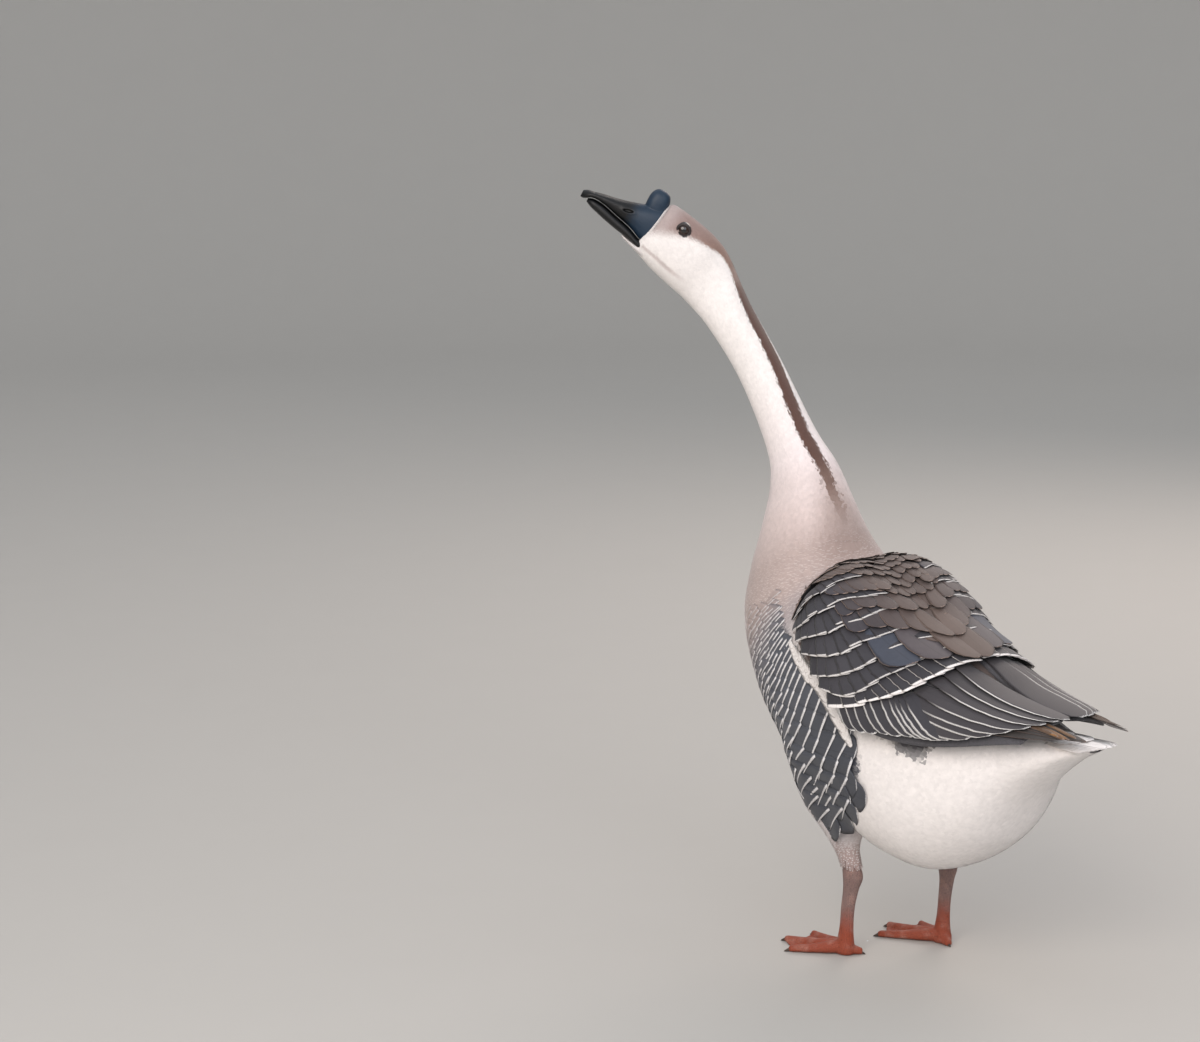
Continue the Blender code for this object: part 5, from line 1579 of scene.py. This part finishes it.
def eyeMaterial():
    made, tree, shader = material("wet_eye", 0.05, Coat_Weight=1.0, Coat_Roughness=0.02, IOR=1.38)
    away = node(tree, "Attribute", attribute_name="away").outputs["Fac"]
    place = node(tree, "TexCoord").outputs["Object"]
    flecks = node(tree, "TexNoise", {"Vector": place, "Scale": 1400.0, "Detail": 2.0})
    rim = linear(eyeLook["rimTone"])
    iris = node(tree, "Mix", {0: flecks, 6: rim, 7: linear(eyeLook["irisTone"])}, data_type="RGBA")
    pupil = node(tree, "MapRange", {0: away, 1: eyeLook["pupil"] - 0.0002, 2: eyeLook["pupil"] + 0.0002},
                 interpolation_type="SMOOTHSTEP")
    inner = node(tree, "Mix", {0: pupil, 6: linear("#020202"), 7: iris.outputs[2]}, data_type="RGBA")
    ring = node(tree, "MapRange", {0: away, 1: eyeLook["iris"] - 0.0006, 2: eyeLook["iris"]},
                interpolation_type="SMOOTHSTEP")
    whole = node(tree, "Mix", {0: ring, 6: inner.outputs[2], 7: rim}, data_type="RGBA")
    joinLook(tree, shader, whole.outputs[2])
    return made


def eyeObject(name, side):
    polar, turn = np.meshgrid(np.pi * (np.arange(40) + 0.2) / 39.4, circle(48), indexing="ij")
    r = head["eyeRadius"]
    ball = headPoint(r * np.sin(polar) * np.cos(turn), r * np.sin(polar) * np.sin(turn),
                     side * (head["eyeOut"] + r * np.cos(polar)))
    made = tubeObject(name, ball)
    local, _ = inHead(made)
    made.data.attributes.new("away", "FLOAT", "POINT").data.foreach_set(
        "value", np.hypot(local[:, 0], local[:, 1]).astype(np.float32))
    made.data.materials.append(eyeLookMaterial)
    return made


def lidMaterial():
    # Lids: bare dark skin with fine creases
    made, tree, shader = material("bare_lid_skin", 0.48)
    place = node(tree, "TexCoord").outputs["Object"]
    creases = node(tree, "TexNoise", {"Vector": place, "Scale": 1100.0, "Detail": 3.0})
    coloured = node(tree, "Mix", {0: creases, 6: linear("#120E0E"), 7: linear("#3A2F2E")}, data_type="RGBA")
    joinLook(tree, shader, coloured.outputs[2], creases, 0.0003)
    return made


lids = {"radius": 0.0070, "thick": 0.0016, "out": 0.0068, "longer": 1.14, "brow": 0.0008}


def lidObject(name, side):
    # A ring of skin round the eye, heavier above than below, with small creases across it
    turn, around = np.meshgrid(circle(96), circle(20), indexing="ij")
    thick = lids["thick"] * (1 + 0.25 * np.sin(turn)) * (1 + 0.05 * np.sin(turn * 19))
    radius = lids["radius"] + thick * np.cos(around) - 0.0004 * np.sin(turn)
    out = head["eyeOut"] + lids["out"] + lids["brow"] * np.sin(turn) + thick * np.sin(around)
    point = headPoint(radius * lids["longer"] * np.cos(turn), radius * np.sin(turn), side * out)
    i, j = np.meshgrid(np.arange(96), np.arange(20), indexing="ij")
    k, m = (i + 1) % 96, (j + 1) % 20
    a, b, c, d = i * 20 + j, i * 20 + m, k * 20 + m, k * 20 + j
    faces = np.concatenate([np.stack([a, b, c], -1).reshape(-1, 3), np.stack([a, c, d], -1).reshape(-1, 3)])
    made = faceOut(solidMesh(name, point.reshape(-1, 3), faces))
    made.data.materials.append(lidLook)
    return made


eyeLookMaterial, lidLook = eyeMaterial(), lidMaterial()
eyes = [eyeObject("eyeball_left", 1), eyeObject("eyeball_right", -1)]
lidPieces = [lidObject("lids_left", 1), lidObject("lids_right", -1)]
report("eyes")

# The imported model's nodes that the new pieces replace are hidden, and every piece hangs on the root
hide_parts("torso", "neck_lower", "neck_upper", "head", "leg_left", "leg_right", "foot_left",
            "foot_right")
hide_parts("tail")
for piece, nodeName in zip(wings, ("wing_left", "wing_right")):
    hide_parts(nodeName)
for piece, nodeName in zip(bills, ("bill_upper", "bill_lower")):
    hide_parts(nodeName)
for piece, nodeName in zip(eyes, ("eye_left", "eye_right")):
    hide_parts(nodeName)
for piece in [skin, tailPiece, backPiece, *wings, *pads, *coatPieces, *bills, *eyes, *lidPieces, *claws]:
    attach(piece, "root")

# Floor, light and camera
studio = {"tone": "#B8B5B0", "world": 1.0, "key": 96.0, "fill": 54.0, "rim": 36.0, "radius": 7.0}


def studioObject():
    # A pale floor that curves up into a wall all round, so that no horizon shows
    radius = studio["radius"]
    profile = [(0.001, 0.0), (radius * 0.5, 0.0), (radius * 0.8, 0.0)]
    profile += [(radius * (0.8 + 0.3 * math.sin(a)), radius * 0.3 * (1 - math.cos(a)))
                for a in np.linspace(0.1, math.pi / 2, 14)]
    profile.append((radius * 1.1, radius * 0.75))
    turns = circle(72)
    rings = [np.stack([r * np.cos(turns), r * np.sin(turns), 0 * turns + z], 1) for r, z in profile]
    i, j = np.meshgrid(np.arange(len(rings) - 1), np.arange(72), indexing="ij")
    k = (j + 1) % 72
    a, b, c, d = i * 72 + j, i * 72 + k, (i + 1) * 72 + k, (i + 1) * 72 + j
    faces = np.concatenate([np.stack([a, c, b], -1).reshape(-1, 3), np.stack([a, d, c], -1).reshape(-1, 3)])
    made = solidMesh("studio", np.concatenate(rings) - moved, faces)
    look, tree, shader = material("studio_paint", 0.75)
    place = node(tree, "TexCoord").outputs["Object"]
    noise = node(tree, "TexNoise", {"Vector": place, "Scale": 9.0, "Detail": 3.0})
    pale = linear(studio["tone"])
    coloured = node(tree, "Mix", {0: noise, 6: pale * 0.98, 7: pale}, data_type="RGBA")
    joinLook(tree, shader, coloured.outputs[2])
    made.data.materials.append(look)
    return made


def lamp(name, place, target, size, power, tint="#FFFFFF"):
    data = bpy.data.lights.new(name, "AREA")
    data.shape, data.size, data.energy = "DISK", size, power
    data.color = linear(tint)
    made = bpy.data.objects.new(name, data)
    bpy.context.scene.collection.objects.link(made)
    made.location = place
    made.rotation_euler = (Vector(target) - Vector(place)).to_track_quat("-Z", "Y").to_euler()
    return made


camera = {"place": (2.893, 2.872, 1.280), "heading": (-0.643, -0.766), "down": 10.34, "lens": 102.0}


def cameraObject():
    # The camera stands behind the bird's left side and looks slightly down
    data = bpy.data.cameras.new("camera")
    data.lens, data.sensor_width, data.sensor_fit = camera["lens"], 36.0, "HORIZONTAL"
    data.clip_end = 60.0
    made = bpy.data.objects.new("camera", data)
    bpy.context.scene.collection.objects.link(made)
    flat = Vector((*camera["heading"], 0)).normalized()
    down = math.radians(camera["down"])
    look = flat * math.cos(down) - Vector((0, 0, 1)) * math.sin(down)
    right = look.cross(Vector((0, 0, 1))).normalized()
    above = right.cross(look)
    turn = Matrix((right, above, -look)).transposed().to_4x4()
    made.matrix_world = Matrix.Translation(Vector(camera["place"]) + Vector(moved)) @ turn
    bpy.context.scene.camera = made
    return made


studioObject()
cameraObject()
middle = (0.0, 0.0, 0.45)
lamp("key", (3.1, 1.6, 2.3), middle, 2.8, studio["key"], "#FFF7F0")
lamp("fill", (1.6, 4.2, 2.3), middle, 3.2, studio["fill"], "#EEF3FF")
lamp("rim", (-2.6, -1.2, 2.2), middle, 2.0, studio["rim"], "#FFEEE4")
world = bpy.data.worlds.new("studio")
world.use_nodes = True
background = world.node_tree.nodes["Background"]
background.inputs[0].default_value = (*linear("#E8ECF2"), 1)
background.inputs[1].default_value = studio["world"]
bpy.context.scene.world = world
bpy.context.scene.view_settings.view_transform = "Standard"
report("stage")
